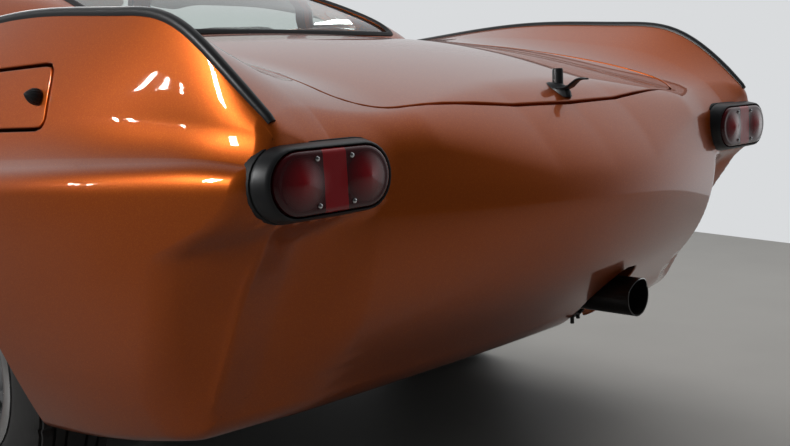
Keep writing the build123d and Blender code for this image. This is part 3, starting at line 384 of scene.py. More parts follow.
def trimmed(surface, field, roll=2.5, flange=14.0):
    """The part of a surface where a field is below zero, with its new edge rolled inwards and
    a flange behind it, as on a pressed panel."""
    points, normals, kept, edges, rim, outward = cut(surface, field, -roll)
    if len(rim) == 0:
        return points, normals, kept
    row = {i: k for k, i in enumerate(rim)}
    rows, new_points, new_normals = [rim], [points], [normals]
    start = len(points)
    turns = [(roll * math.sin(t), roll * (1 - math.cos(t)), t) for t in (0.52, 1.05, 1.5708)]
    turns.append((roll, roll + flange, 1.5708))
    for out, down, turn in turns:
        new_points.append(points[rim] + outward * out - normals[rim] * down)
        new_normals.append(normals[rim] * math.cos(turn) + outward * math.sin(turn))
        rows.append(np.arange(start, start + len(rim)))
        start += len(rim)
    for a, b in edges:
        for upper, lower in zip(rows, rows[1:]):
            kept.append([upper[row[a]], lower[row[a]], lower[row[b]], upper[row[b]]])
    return np.concatenate(new_points), np.concatenate(new_normals), kept


def seam_lines(surface, field, level, spacing):
    """The lines on a surface where a field has a level, each as evenly spaced points with
    the surface's normals there."""
    points, normals, kept, edges, rim, outward = cut(surface, field, level)
    following = dict(edges)
    lines = []
    while following:
        start = next(iter(set(following) - set(following.values())), None)
        if start is None:
            start = next(iter(following))
        line = [start]
        while line[-1] in following:
            line.append(following.pop(line[-1]))
        line = np.array(line)
        closed = line[0] == line[-1]
        way = np.concatenate([[0], np.cumsum(np.linalg.norm(np.diff(points[line], axis=0), axis=1))])
        if way[-1] < 4 * spacing:
            continue
        at = np.linspace(0, way[-1], max(8, int(way[-1] / spacing)))
        even = np.column_stack([np.interp(at, way, points[line, k]) for k in range(3)])
        up = np.column_stack([np.interp(at, way, normals[line, k]) for k in range(3)])
        up /= np.linalg.norm(up, axis=1, keepdims=True)
        lines.append((even[:-1] if closed else even, up[:-1] if closed else up, closed))
    return lines


def sharp_and(a, b):
    """The field of what lies in both of two fields."""
    return np.maximum(a, b)


def round_and(a, b, radius):
    """The field of what lies in both of two fields, with its corners rounded."""
    bulk = np.minimum(np.maximum(a, b), -radius)
    return bulk + np.sqrt(np.maximum(a + radius, 0) ** 2 + np.maximum(b + radius, 0) ** 2)


def lid_field(x, y, hinge_y, facing, reach, side_reach, half_width, corner):
    """A lid's outline from above: straight at the hinge and the sides, bowed at the free edge."""
    inner_x = half_width - corner
    drop = reach - side_reach
    radius = (inner_x**2 + drop**2) / (2 * drop)
    far_edge = reach - (radius - np.sqrt(radius**2 - np.clip(np.abs(x), 0, half_width) ** 2))
    ahead = facing * (y - hinge_y)
    free = round_and(np.abs(x) - half_width, ahead - far_edge, corner)
    return sharp_and(free, 3 - ahead)


def boot_field(x, y, z):
    return np.maximum(lid_field(x, y, 1262, 1, 755, 723, 476, 70), 600 - z)


def bonnet_field(x, y, z):
    return np.maximum(lid_field(x, y, -703, -1, 1345, 1262, 590, 60), 600 - z)


def door_field(x, y, z):
    """The door's outline, the same on both sides."""
    outer = np.abs(x)
    rear = 500 - 20 * (846 - outer) / 206
    return np.maximum.reduce([y - rear, -560 - y, 296 - z, 640 - outer])


def flap_field(x, y, z):
    width, height = 103.5, 48
    across, up = np.abs(y - 1446.5) - width, np.abs(z - 818) - height
    return np.maximum(round_and(across, up, 16), 600 - x)


def arch_field(axle_y, radius):
    def field(x, y, z):
        return np.maximum(np.hypot(y - axle_y, z - AXLE_Z) - radius, 480 - np.abs(x))
    return field


def outside(field, gap):
    """The field of what lies outside another by a gap."""
    def other(x, y, z):
        return gap - field(x, y, z)
    return other


def cabin_field(x, y, z):
    """The opening above the seats, inside the doors' tops and ahead of the back window."""
    return np.maximum.reduce([np.abs(x) - 628, -445 - y, y - 560, 700 - z])


def rear_shelf_field(x, y, z):
    return np.maximum.reduce([np.abs(x) - 425, 500 - y, y - 1150, 700 - z])


def mouth_field(x, y, z):
    return np.maximum(np.hypot(x / 400, (z - 520) / 82) * 82 - 82, y + 1700)


def lamp_hole_field(x, y, z):
    return np.maximum(np.hypot(np.abs(x) - HEADLAMP_X, z - HEADLAMP_Z) - 98, y + 1700)


def exhaust_notch_field(x, y, z):
    notch_radius = 60
    low = np.maximum(np.abs(x - PIPE_X) - notch_radius, z - PIPE_Z)
    around = np.hypot(x - PIPE_X, z - PIPE_Z) - notch_radius
    return np.maximum(np.minimum(around, low), 1700 - y)


# Openings: the panels that move leave a gap of 5 mm round them.
gap, arch_radius = 5.0, 345
shell = skin
for field, roll, flange in (
        (boot_field, 2.5, 16), (bonnet_field, 2.5, 16), (door_field, 2.5, 34), (flap_field, 2.5, 10)):
    shell = trimmed(shell, outside(field, gap), roll, flange)
for field, flange in (
        (arch_field(FRONT_AXLE_Y, arch_radius), 26), (arch_field(REAR_AXLE_Y, arch_radius), 26),
        (cabin_field, 30), (rear_shelf_field, 20), (mouth_field, 60), (lamp_hole_field, 60),
        (exhaust_notch_field, 14)):
    shell = trimmed(shell, outside(field, 0), 4, flange)
boot_skin = trimmed(skin, boot_field, 2.5, 16)
bonnet_skin = trimmed(skin, bonnet_field, 2.5, 16)
door_skin = trimmed(skin, door_field, 2.5, 34)
flap_skin = trimmed(skin, flap_field, 2.5, 8)


def compact(surface):
    """A surface without the points that no face uses."""
    points, normals, faces = surface
    used = np.unique(np.concatenate([np.asarray(f) for f in faces]))
    numbers = np.full(len(points), -1)
    numbers[used] = np.arange(len(used))
    return points[used], normals[used], [[int(numbers[i]) for i in f] for f in faces]


def half_of(surface, side):
    """The faces of a surface on one side of the car."""
    points, normals, faces = surface
    return points, normals, [f for f in faces if points[f[0], 0] * side > 0]


def skin_piece(name, surface, body, material):
    """An object of a surface given in mm, with the smooth normals of the uncut surface."""
    points, normals, faces = compact(surface)
    mesh = bpy.data.meshes.new(name)
    mesh.from_pydata((points / 1000).tolist(), [], faces)
    mesh.update()
    mesh.shade_smooth()
    mesh.normals_split_custom_set_from_vertices(normals.tolist())
    mesh.materials.append(material)
    piece = bpy.data.objects.new(name, mesh)
    bpy.context.collection.objects.link(piece)
    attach(piece, body)
    return piece


def linear(hex_colour):
    """A linear colour from an sRGB one written as hex."""
    values = [int(hex_colour[i : i + 2], 16) / 255 for i in (1, 3, 5)]
    return [v / 12.92 if v <= 0.04045 else ((v + 0.055) / 1.055) ** 2.4 for v in values] + [1]


def add_node(material, kind, values=None, links=None, **settings):
    """A shader node with its settings, the values of its inputs, and links into its inputs."""
    node = material.node_tree.nodes.new(kind)
    for name, value in settings.items():
        setattr(node, name, value)
    for name, value in (values or {}).items():
        node.inputs[name].default_value = value
    for name, output in (links or {}).items():
        material.node_tree.links.new(output, node.inputs[name])
    return node


def new_material(name):
    """A material with no nodes but its output."""
    material = bpy.data.materials.new(name)
    material.use_nodes = True
    material.node_tree.nodes.clear()
    return material


def finish_material(material, values, links=None):
    """Give a material its shader and its output."""
    shader = add_node(material, "ShaderNodeBsdfPrincipled", values, links)
    add_node(material, "ShaderNodeOutputMaterial", links={"Surface": shader.outputs[0]})
    return material


def place_on(material):
    """The place on the piece itself, in metres, so that a pattern keeps its real scale."""
    return add_node(material, "ShaderNodeTexCoord").outputs["Object"]


def noise_on(material, scale, detail=2.0):
    """A cloudy pattern over the piece."""
    node = add_node(
        material, "ShaderNodeTexNoise", {"Scale": scale, "Detail": detail}, {"Vector": place_on(material)})
    return node.outputs["Fac"]


def cells_on(material, scale):
    """A pattern of small cells over the piece."""
    return add_node(
        material, "ShaderNodeTexVoronoi", {"Scale": scale}, {"Vector": place_on(material)}).outputs


def colour_mix(material, low, high, share):
    """A colour between two others, each a hex colour or a link."""
    values, links = {}, {"Factor": share}
    for socket, colour in (("A", low), ("B", high)):
        if isinstance(colour, str):
            values[socket] = linear(colour)
        else:
            links[socket] = colour
    return add_node(material, "ShaderNodeMix", values, links, data_type="RGBA").outputs["Result"]


def relief(material, height, strength, depth):
    """The normal of a relief, from its height and its depth in metres."""
    return add_node(
        material, "ShaderNodeBump", {"Strength": strength, "Distance": depth},
        {"Height": height}).outputs["Normal"]


# Copper-orange metallic lacquer: flakes 0.1 mm wide lie at slightly different angles in the
# colour coat, drawn as coarse as 1 mm so that they show, and the clear coat over them is flat.
copper_lacquer = new_material("copper_lacquer")
flakes = cells_on(copper_lacquer, 900.0)["Color"]
flake_share = add_node(
    copper_lacquer, "ShaderNodeMapRange", {"From Min": 0.55, "From Max": 1.0, "To Max": 0.25},
    {"Value": flakes}).outputs[0]
facing_away = add_node(copper_lacquer, "ShaderNodeLayerWeight", {"Blend": 0.4}).outputs["Facing"]
colour_coat = colour_mix(copper_lacquer, "#C85C12", "#6E280A", facing_away)
finish_material(
    copper_lacquer,
    {"Metallic": 0.62, "Roughness": 0.38, "Specular IOR Level": 0.2, "Coat Weight": 0.8,
     "Coat Roughness": 0.025},
    {"Base Color": colour_mix(copper_lacquer, colour_coat, "#F08A24", flake_share),
     "Normal": relief(copper_lacquer, flakes, 0.06, 0.0004)})

shell_piece = skin_piece("painted_shell", shell, "car_body", copper_lacquer)
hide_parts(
    "nose_panel", "front_wings", "cowl_panel", "sills", "rear_quarters", "rear_deck",
    "tail_panel")
for body, surface in (
        ("boot_lid", boot_skin), ("bonnet", bonnet_skin), ("door_left", half_of(door_skin, 1)),
        ("door_right", half_of(door_skin, -1)), ("fuel_flap", flap_skin)):
    panel = skin_piece(f"{body}_skin", surface, body, copper_lacquer)
    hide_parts(body)


# Tail lamps
# Each lamp is a black moulded bezel on a rubber gasket, screwed to the end of the wing, with
# one moulded red lens in it. Four plated screws hold the lens through its flat middle.
LAMP_X, LAMP_Z = 597.0, 685.0


def mesh_piece(name, points, faces, body, material, sharp=30, origin=(0, 0, 0)):
    """An object of points in mm, smooth but for edges sharper than an angle."""
    mesh = bpy.data.meshes.new(name)
    mesh.from_pydata(((np.asarray(points, float) - origin) / 1000).tolist(), [], [list(f) for f in faces])
    mesh.validate()
    mesh.shade_smooth()
    mesh.set_sharp_from_angle(angle=math.radians(sharp))
    mesh.materials.append(material)
    piece = bpy.data.objects.new(name, mesh)
    bpy.context.collection.objects.link(piece)
    piece.location = np.asarray(origin, float) / 1000
    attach(piece, body)
    return piece


def joined(*parts):
    """Several meshes as one, each given as points and faces."""
    points, faces = [], []
    for part_points, part_faces in parts:
        start = sum(len(p) for p in points)
        points.append(np.asarray(part_points, float))
        faces += [[i + start for i in f] for f in part_faces]
    return np.concatenate(points), faces


def mirrored(part):
    """A mesh on the other side of the car."""
    points, faces = part
    return np.asarray(points) * (-1, 1, 1), [list(f)[::-1] for f in faces]


def moved(part, shift):
    return np.asarray(part[0]) + shift, part[1]


def both_sides(part):
    return joined(part, mirrored(part))


def ring_faces(ring_count, size, closed=True):
    """Quads between rings of points; the rings close on themselves or not."""
    faces = []
    for r in range(ring_count - 1):
        for k in range(size if closed else size - 1):
            n = (k + 1) % size
            faces.append([r * size + k, r * size + n, (r + 1) * size + n, (r + 1) * size + k])
    return faces


def pill(core, radius, turns=14, straights=12):
    """Points of a pill outline: two half circles whose centres lie off the middle."""
    angles = np.linspace(-math.pi / 2, math.pi / 2, turns)
    right_x, right_z = core + radius * np.cos(angles), radius * np.sin(angles)
    line = np.linspace(core, -core, straights)[1:-1]
    x = np.concatenate([right_x, line, -right_x, -line])
    z = np.concatenate([right_z, line * 0 + radius, -right_z, line * 0 - radius])
    return x, z


def pill_shell(rows, relief=None):
    """A skin through pill outlines, each row a half core length, a radius and a depth."""
    points = []
    for core, radius, y in rows:
        x, z = pill(core, radius)
        rise = relief(x, z) if relief and y > 2064 else 0 * x
        points.append(np.column_stack([x, y + rise, z]))
    size = len(points[0])
    return np.concatenate(points), [f[::-1] for f in ring_faces(len(rows), size)]


def cone_relief(x, z):
    """Two shallow cones in the lens, over its two bulbs."""
    away = np.hypot(np.abs(x) - 55, z)
    return 8.0 * np.clip(1 - away / 34, 0, 1)


def lathe(profile, steps=24, axis="y"):
    """A skin turned about an axis, from a profile of radius and height along it."""
    angles = np.linspace(0, 2 * math.pi, steps, endpoint=False)
    points = []
    for radius, height in profile:
        a, b = radius * np.cos(angles), radius * np.sin(angles)
        h = np.full(steps, float(height))
        points.append(np.column_stack({"x": [h, a, b], "y": [b, h, a], "z": [a, b, h]}[axis]))
    return np.concatenate(points), ring_faces(len(profile), steps)


# Satin black moulding: the sheen is broad and grey at grazing angles, so its shape reads.
satin_black = finish_material(
    new_material("satin_black_moulding"), {"Base Color": linear("#1B1C1E"), "Roughness": 0.42})

# Black rubber of gaskets and seals is duller and shows no clear reflection.
black_rubber = new_material("black_rubber")
finish_material(
    black_rubber, {"Base Color": linear("#121213"), "Roughness": 0.62},
    {"Normal": relief(black_rubber, noise_on(black_rubber, 900.0), 0.15, 0.0003)})

# Chrome plate on screws and rims reflects everything sharply.
chrome = finish_material(
    new_material("chrome_plate"), {"Base Color": linear("#DDDEE0"), "Metallic": 1.0, "Roughness": 0.08})


def math_node(material, operation, first, second=0.0):
    """The result of a calculation on a link or a number."""
    node = add_node(material, "ShaderNodeMath", operation=operation)
    for i, value in enumerate((first, second)):
        if isinstance(value, (int, float)):
            node.inputs[i].default_value = value
        else:
            material.node_tree.links.new(value, node.inputs[i])
    return node.outputs[0]


def axes_on(material):
    """The X, Y and Z of the place on the piece."""
    return add_node(
        material, "ShaderNodeSeparateXYZ", links={"Vector": place_on(material)}).outputs


def waves(material, distance, pitch):
    """A sine with a wave for each pitch, in metres."""
    return math_node(material, "SINE", math_node(material, "MULTIPLY", distance, 2 * math.pi / pitch))


def far_from(material, first, second):
    """How far out a place lies, from its two distances."""
    return math_node(material, "SQRT", math_node(
        material, "ADD", math_node(material, "POWER", first, 2.0),
        math_node(material, "POWER", second, 2.0)))


# Red acrylic over fine moulded prisms: rings 2.5 mm apart over the bulbs and a square grid of
# 3 mm in the middle glitter inside a deep red. The red is painted lighter over the bulbs and in
# the middle, as light from the reflectors behind the lens, and painted darker towards the rim.
red_acrylic = new_material("red_acrylic")
axes = axes_on(red_acrylic)
side_x = math_node(red_acrylic, "ABSOLUTE", axes["X"])
from_bulb = far_from(red_acrylic, math_node(red_acrylic, "SUBTRACT", side_x, 0.055), axes["Z"])
square_grid = math_node(
    red_acrylic, "MULTIPLY", waves(red_acrylic, axes["X"], 0.003), waves(red_acrylic, axes["Z"], 0.003))
in_middle = math_node(red_acrylic, "LESS_THAN", side_x, 0.020)
prisms = add_node(
    red_acrylic, "ShaderNodeMix", None,
    {"Factor": in_middle, "A": waves(red_acrylic, from_bulb, 0.0025), "B": square_grid})
# Painted light and shade: the red is lighter over each bulb and in the middle, and darkens towards the rim.
rim_shade_share = add_node(
    red_acrylic, "ShaderNodeMapRange", {"From Min": 0.006, "From Max": 0.036}, {"Value": from_bulb})
red_with_painted_light = colour_mix(red_acrylic, "#8E0D18", "#43060D", rim_shade_share.outputs[0])
finish_material(
    red_acrylic,
    {"Roughness": 0.2, "IOR": 1.49, "Specular IOR Level": 0.25, "Coat Weight": 1.0, "Coat Roughness": 0.02},
    {"Base Color": colour_mix(red_acrylic, red_with_painted_light, "#980D17", in_middle),
     "Normal": relief(red_acrylic, prisms.outputs[0], 0.25, 0.0004)})

gasket = pill_shell([(67, 50, 1990), (67, 52.5, 1990), (67, 52.5, 2031), (67, 52, 2033), (66, 49, 2034)])
bezel = pill_shell([
    (66, 48, 1990), (66, 50.5, 2033), (65.8, 51, 2035), (65, 50.4, 2040), (62.5, 47.6, 2054),
    (61.5, 46.5, 2058), (60.5, 45.2, 2059.5), (59.5, 44, 2059), (59, 43.2, 2056), (59, 42.8, 2044)])
lens_rows = [(58.5, 42, 2044), (58.5, 42, 2058), (58.5, 41.4, 2061), (58.5, 39.8, 2063), (58.5, 37.5, 2064)]
lens_rows += [(58.5, radius, 2064.2) for radius in np.linspace(35.5, 0.01, 16)]
lens = pill_shell(lens_rows, cone_relief)
screw = lathe([(3.6, 0), (3.6, 1.6), (3.0, 2.6), (1.8, 3.2), (0.01, 3.4)], 14)
screw_places = [(x, 2063.6, z) for x in (-30, 30) for z in (-30.5, 30.5)]
# Painted shade: a black bar across each chrome screw head stands for the shade in its slot.
slot_corners = ((-2.8, -0.4), (2.8, -0.4), (2.8, 0.4), (-2.8, 0.4))
slot_shade_bar = (
    np.array([(x, y, z) for y in (3.0, 3.9) for x, z in slot_corners], float),
    [[4, 7, 6, 5], [0, 1, 5, 4], [1, 2, 6, 5], [2, 3, 7, 6], [3, 0, 4, 7]])
lamp_place = np.array([LAMP_X, 0, LAMP_Z])
for side, name in SIDES:
    place_here = lamp_place * (side, 1, 1)
    flipped = mirrored if side < 0 else (lambda part: part)

    def at_lamp(part):
        return moved(flipped(part), place_here)

    mesh_piece(f"tail_lamp_gasket_{name}", *at_lamp(gasket), "car_body", black_rubber)
    bezel_piece = mesh_piece(f"tail_lamp_bezel_{name}", *at_lamp(bezel), "car_body", satin_black)
    lens_piece = mesh_piece(
        f"tail_lamp_lens_{name}", *at_lamp(lens), "car_body", red_acrylic, 40, origin=place_here)
    screws = joined(*[moved(screw, place) for place in screw_places])
    mesh_piece(f"tail_lamp_screws_{name}", *at_lamp(screws), "car_body", chrome)
    slot_shade_bars = joined(*[moved(slot_shade_bar, place) for place in screw_places])
    mesh_piece(f"tail_lamp_slot_shades_{name}", *at_lamp(slot_shade_bars), "car_body", black_rubber)
    if side > 0:
        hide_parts("tail_lamp_housings")
        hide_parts("tail_lamp_lenses")

# Fin trims
# A black-painted aluminium strip is clipped along each fin's crest, rounded on top, and ends
# in a blunt two-faced tip above the lamp.
crest_columns = np.nonzero(places == 4)[0]
crest = rings[:, crest_columns[len(crest_columns) // 2]]
crest_up = skin_normals[: rings.shape[0] * rings.shape[1]].reshape(rings.shape)[
    :, crest_columns[len(crest_columns) // 2]]
on_trim = (crest[:, 1] > 600) & (np.arange(len(crest)) < len(crest) - 5)


def even_path(path, ups, spacing):
    """A path with its normals at even steps."""
    way = np.concatenate([[0], np.cumsum(np.linalg.norm(np.diff(path, axis=0), axis=1))])
    at = np.linspace(0, way[-1], max(4, int(way[-1] / spacing)))
    path = np.column_stack([np.interp(at, way, path[:, k]) for k in range(3)])
    ups = np.column_stack([np.interp(at, way, ups[:, k]) for k in range(3)])
    return path, ups / np.linalg.norm(ups, axis=1, keepdims=True)


def swept(path, ups, profile, closed=False, sizes=None):
    """A skin swept along a path; the profile is given across the path and up from it."""
    path, ups = np.asarray(path, float), np.asarray(ups, float)
    if closed:
        way = np.roll(path, -1, axis=0) - np.roll(path, 1, axis=0)
    else:
        way = np.gradient(path, axis=0)
    way /= np.linalg.norm(way, axis=1, keepdims=True)
    across = np.cross(way, ups)
    across /= np.linalg.norm(across, axis=1, keepdims=True)
    upward = np.cross(across, way)
    sizes = np.ones(len(path)) if sizes is None else sizes
    profile = np.asarray(profile, float)
    points = (path[:, None] + across[:, None] * (profile[None, :, :1] * sizes[:, None, None])
              + upward[:, None] * (profile[None, :, 1:] * sizes[:, None, None]))
    count, size = points.shape[:2]
    faces = ring_faces(count, size)
    if closed:
        last = (count - 1) * size
        faces += [[last + k, last + (k + 1) % size, (k + 1) % size, k] for k in range(size)]
    else:
        faces.append(list(range(size))[::-1])
        faces.append([(count - 1) * size + k for k in range(size)])
    return points.reshape(-1, 3), faces


trim_path, trim_ups = even_path(crest[on_trim], crest_up[on_trim], 9)
way_left = np.linalg.norm(trim_path - trim_path[-1], axis=1)
trim_sizes = np.interp(way_left, (0, 9, 60, 400), (0.72, 0.8, 0.92, 1.0))
trim_profile = [(8.6 * math.cos(t), 8.0 * math.sin(t) - 0.5) for t in np.linspace(0, math.pi, 9)]
trim_profile += [(-8.6, -5), (8.6, -5)]
trim = swept(trim_path, trim_ups, trim_profile, sizes=trim_sizes)
trim_piece = mesh_piece("fin_trim_strips", *both_sides(trim), "car_body", satin_black, 50)
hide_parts("fin_trims")


# Boot handle
# A cast handle painted satin black: a boat-shaped foot, an upright lock barrel on its front
# half, and a thin lip that sweeps up behind it for the fingers.
HANDLE_Y = 1985.0
deck_at = skin_points[np.argmin(np.hypot(skin_points[:, 0] + 12, skin_points[:, 1] - HANDLE_Y)
                                + 1000 * (skin_points[:, 2] < 700))]
handle_place = np.array([-12, HANDLE_Y, deck_at[2]])
foot_rows = []
for height, width, length in (
        (-8, 15, 28), (1, 15, 28), (6, 13.5, 26), (12, 8, 20), (14, 5, 15), (14.6, 1, 4)):
    turn = np.linspace(0, 2 * math.pi, 12, endpoint=False)
    x = width * np.sign(np.cos(turn)) * np.abs(np.cos(turn)) ** 0.8
    y = length * np.sign(np.sin(turn)) * np.abs(np.sin(turn)) ** 0.9
    foot_rows.append(np.column_stack([x, y - 0.22 * height, np.full(12, float(height)) - 0.16 * y]))
foot = (np.concatenate(foot_rows), ring_faces(len(foot_rows), 12))
barrel = lathe([(10, 0), (10, 33), (9.4, 35), (8.4, 36), (5.2, 36), (5.0, 35.2), (0.01, 35.2)], 28, "z")
barrel = moved(barrel, (-6, -2, 4))
# The lip's path, a point a row: y, z and how far its top leans back.
lip_rows = np.array([
    (8, 4, -0.05), (20, 4, -0.15), (30, 7, -0.5), (38, 13, -0.9), (45, 17.5, -0.7), (52, 19, -0.2),
    (64, 18, 0)], float)
lip_path = np.column_stack([lip_rows[:, 0] * 0, lip_rows[:, :2]])
lip_ups = np.column_stack([lip_rows[:, 0] * 0, lip_rows[:, 2], lip_rows[:, 0] * 0 + 1])
lip_path, lip_ups = even_path(lip_path, lip_ups, 3)
lip_profile = [(-12, 0), (-10, 2), (-5, 3.4), (5, 3.4), (10, 2), (12, 0), (9, -3), (-9, -3)]
lip_steps = len(lip_path)
lip_sizes = np.interp(np.arange(lip_steps), (0, 5, lip_steps - 4, lip_steps - 1), (1.2, 1.0, 0.7, 0.5))
lip = swept(lip_path, lip_ups, lip_profile, sizes=lip_sizes)
handle_piece = mesh_piece(
    "boot_handle_casting", *moved(joined(foot, barrel, lip), handle_place), "boot_lid", satin_black, 35)
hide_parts("boot_handle")

# Fuel flap knob
# A pointed knob with cut ribs stands on the flap near its free end; it turns the latch.
knob_y, knob_z = 1522.0, 817.0
knob_x = skin_points[np.argmin(np.hypot(skin_points[:, 1] - knob_y, skin_points[:, 2] - knob_z)
                               + 1000 * (skin_points[:, 0] < 600)), 0]
ribs = 14
turn = np.linspace(0, 2 * math.pi, ribs * 4, endpoint=False)
knob_rows = []
for radius, out, cut_share in (
        (9, -4, 0), (9, 2, 0), (13.5, 3, 0.5), (14, 6, 1), (12.5, 12, 1), (9, 17, 1), (4.5, 22, 0.6),
        (1, 24.5, 0)):
    size = radius * (1 - 0.10 * cut_share * (1 - np.abs(np.sin(turn * ribs / 2))))
    level = np.full(len(turn), float(out))
    knob_rows.append(np.column_stack([level, size * np.cos(turn), size * np.sin(turn)]))
knob_rows.append(np.tile([25.0, 0, 0], (len(turn), 1)))
knob = (np.concatenate(knob_rows), ring_faces(len(knob_rows), len(turn)))
lean = math.radians(16)
knob_turned = np.column_stack([
    knob[0][:, 0] * math.cos(lean) - knob[0][:, 2] * math.sin(lean), knob[0][:, 1],
    knob[0][:, 0] * math.sin(lean) + knob[0][:, 2] * math.cos(lean)])
mesh_piece("fuel_flap_knob", knob_turned + (knob_x, knob_y, knob_z), knob[1], "fuel_flap", satin_black, 35)

# Tail pipe
# The black pipe ends in a slash cut below the notch in the tail, and hangs on a flat bracket
# with two bolts.
SLASH = 0.30
turn = np.linspace(0, 2 * math.pi, 40, endpoint=False)
pipe_rows = []
for radius, y in (
        (34, 1860), (34, 1905), (38, 1912), (38, 2034), (37.4, 2035), (35.6, 2035), (35.2, 2034),
        (35.2, 1960), (34.5, 1930), (0.01, 1929)):
    z = radius * np.sin(turn)
    slash = SLASH * z * (y > 1990)
    pipe_rows.append(np.column_stack([PIPE_X + radius * np.cos(turn), y + slash, PIPE_Z + z]))
pipe = (np.concatenate(pipe_rows), [f[::-1] for f in ring_faces(len(pipe_rows), 40)])

# Black heat-proof paint on steel, with a thin worn bright edge where the cut is.
pipe_black = new_material("black_exhaust_paint")
finish_material(
    pipe_black, {"Metallic": 0.3, "Roughness": 0.38},
    {"Base Color": colour_mix(pipe_black, "#101010", "#26211F", noise_on(pipe_black, 60.0, 4.0))})
mesh_piece("tail_pipe_finisher", *pipe, "car_body", pipe_black, 35)
edge_path = np.array([
    (PIPE_X + 37 * math.cos(t), 2035.2 + SLASH * 37 * math.sin(t), PIPE_Z + 37 * math.sin(t))
    for t in np.linspace(0, 2 * math.pi, 48, endpoint=False)])
edge_ups = np.tile([0.0, 1.0, 0.0], (48, 1))
edge = swept(edge_path, edge_ups, [(0.9, 0), (0, 0.7), (-0.9, 0), (0, -0.9)], closed=True)
mesh_piece("tail_pipe_edge", *edge, "car_body", chrome, 60)
bracket_path = np.array(
    [(-150, 1925, 345), (-135, 1925, 338), (-120, 1925, 345), (-118, 1925, 400)], float)
bracket_path, bracket_ups = even_path(bracket_path, np.tile([0.0, 1.0, 0.0], (4, 1)), 6)
bracket = swept(bracket_path, bracket_ups, [(-1.5, -12), (1.5, -12), (1.5, 12), (-1.5, 12)])
bolts = joined(*[
    moved(lathe([(0.01, -14), (4, -14), (4, 0), (7.5, 0), (7.5, 5), (0.01, 5)], 6, "z"), (x, 1925, z))
    for x, z in ((-146, 340), (-126, 334))])
mesh_piece("tail_pipe_bracket", *joined(bracket, bolts), "car_body", pipe_black, 30)


# Roof and glass
# The steel roof with its pillars is painted like the body. Curved glass sits in black rubber
# seals in front and behind, and the quarter windows sit in thin bright frames.

# Cross sections of the cabin, in mm: y, z_top, x_roof, z_roof, x_belt
CABIN_ROWS = np.array([
    (-740, 822, 560, 812, 600),
    (-640, 902, 598, 840, 625),
    (-560, 972, 602, 862, 640),
    (-450, 1075, 590, 962, 655),
    (-335, 1176, 556, 1080, 670),
    (-240, 1238, 516, 1170, 680),
    (-120, 1273, 502, 1218, 687),
    (60, 1288, 498, 1236, 690),
    (300, 1272, 490, 1222, 688),
    (500, 1226, 476, 1178, 680),
    (700, 1165, 464, 1120, 660),
    (900, 1098, 458, 1062, 622),
    (1050, 1042, 456, 1010, 570),
    (1150, 998, 452, 964, 530),
    (1240, 930, 440, 905, 500),
    (1320, 850, 430, 838, 470),
], float)
BELT_Z = 800.0
cabin_y = np.concatenate([np.linspace(-735, -230, 52), np.linspace(-220, 1310, 110)])
z_top, x_roof, z_roof, x_belt = smooth_columns(CABIN_ROWS, cabin_y).T
cabin_rings = []
for s in np.linspace(0, 1, 22)[:-1]:
    drop = 1 - s
    x = x_belt + (x_roof - x_belt) * s
    z = BELT_Z + (z_roof - BELT_Z) * s
    length = np.hypot(x_roof - x_belt, z_roof - BELT_Z)
    bulge = 4 * 24 * s * (1 - s)
    x = x + bulge * (z_roof - BELT_Z) / length
    z = z - bulge * (x_roof - x_belt) / length
    cabin_rings.append(np.column_stack([x, cabin_y, z]))
for s in np.linspace(0, 1, 26):
    x = x_roof * (1 - s)
    z = z_top - (z_top - z_roof) * (1 - s) ** 2
    cabin_rings.append(np.column_stack([x, cabin_y, z]))
cabin_rings = np.array(cabin_rings)
# The corner between roof and side is rounded by averaging along the section.
for _ in range(6):
    cabin_rings[17:27] = (cabin_rings[16:26] + 2 * cabin_rings[17:27] + cabin_rings[18:28]) / 4
cabin_grid = cabin_rings.transpose(1, 0, 2)
cabin_numbers = np.arange(len(cabin_y) * len(cabin_rings)).reshape(len(cabin_y), len(cabin_rings))
cabin_points, cabin_quads = both_halves(cabin_grid.reshape(-1, 3), grid_quads(cabin_numbers))
cabin_normals = face_normals(cabin_points, cabin_quads)
if cabin_normals[np.argmax(cabin_points[:, 2]), 2] < 0:
    cabin_quads = cabin_quads[:, ::-1]
    cabin_normals = -cabin_normals
cabin_skin = (cabin_points, cabin_normals, cabin_quads.tolist())


def screen_field(x, y, z):
    width = 572 - 120 * (z - 880) / 342
    return np.maximum(round_and(np.abs(x) - width, np.abs(z - 1051) - 171, 40), y + 200)


def back_field(x, y, z):
    width = 418 - 13 * (z - 962) / 228
    return np.maximum(round_and(np.abs(x) - width, np.abs(z - 1070) - 120, 40), 450 - y)


def door_window_field(x, y, z):
    top = 1168 + 40 * (1 - ((y - 90) / 390) ** 2)
    low_post = (y + 506) * 194 - (z - 886) * 221
    high_post = (y + 285) * 88 - (z - 1080) * 100
    edges = np.maximum(-low_post / 294, -high_post / 133)
    return np.maximum(sharp_and(round_and(y - 482, z - top, 22), edges), 430 - np.abs(x))


def quarter_field(x, y, z):
    slope = (z - 1142) * 272 + (y - 534) * 157
    return np.maximum(sharp_and(sharp_and(534 - y, 948 - z), slope / 314), 400 - np.abs(x))


def door_gap_field(x, y, z):
    """The door windows and what they leave open under their lower edge, down into the doors."""
    below = np.maximum.reduce([z - 900, -512 - y, y - 488, 430 - np.abs(x)])
    return np.minimum(door_window_field(x, y, z), below)


roof_skin = cabin_skin
for field in (screen_field, back_field, quarter_field):
    roof_skin = trimmed(roof_skin, outside(field, 0), 2.5, 16)
roof_skin = trimmed(roof_skin, outside(door_gap_field, 3), 2.5, 20)
roof_piece = skin_piece("roof_skin", roof_skin, "car_body", copper_lacquer)
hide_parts("roof")


def inset(surface, depth):
    """A surface moved inwards."""
    points, normals, faces = surface
    return points - normals * depth, normals, faces


# Window glass is thin and clear with a faint green tint; it mirrors the room at low angles.
window_glass = finish_material(
    new_material("window_glass"),
    {"Base Color": linear("#DDE8E2"), "Roughness": 0.01, "IOR": 1.05, "Transmission Weight": 1.0,
     "Coat Weight": 1.0, "Coat Roughness": 0.01})


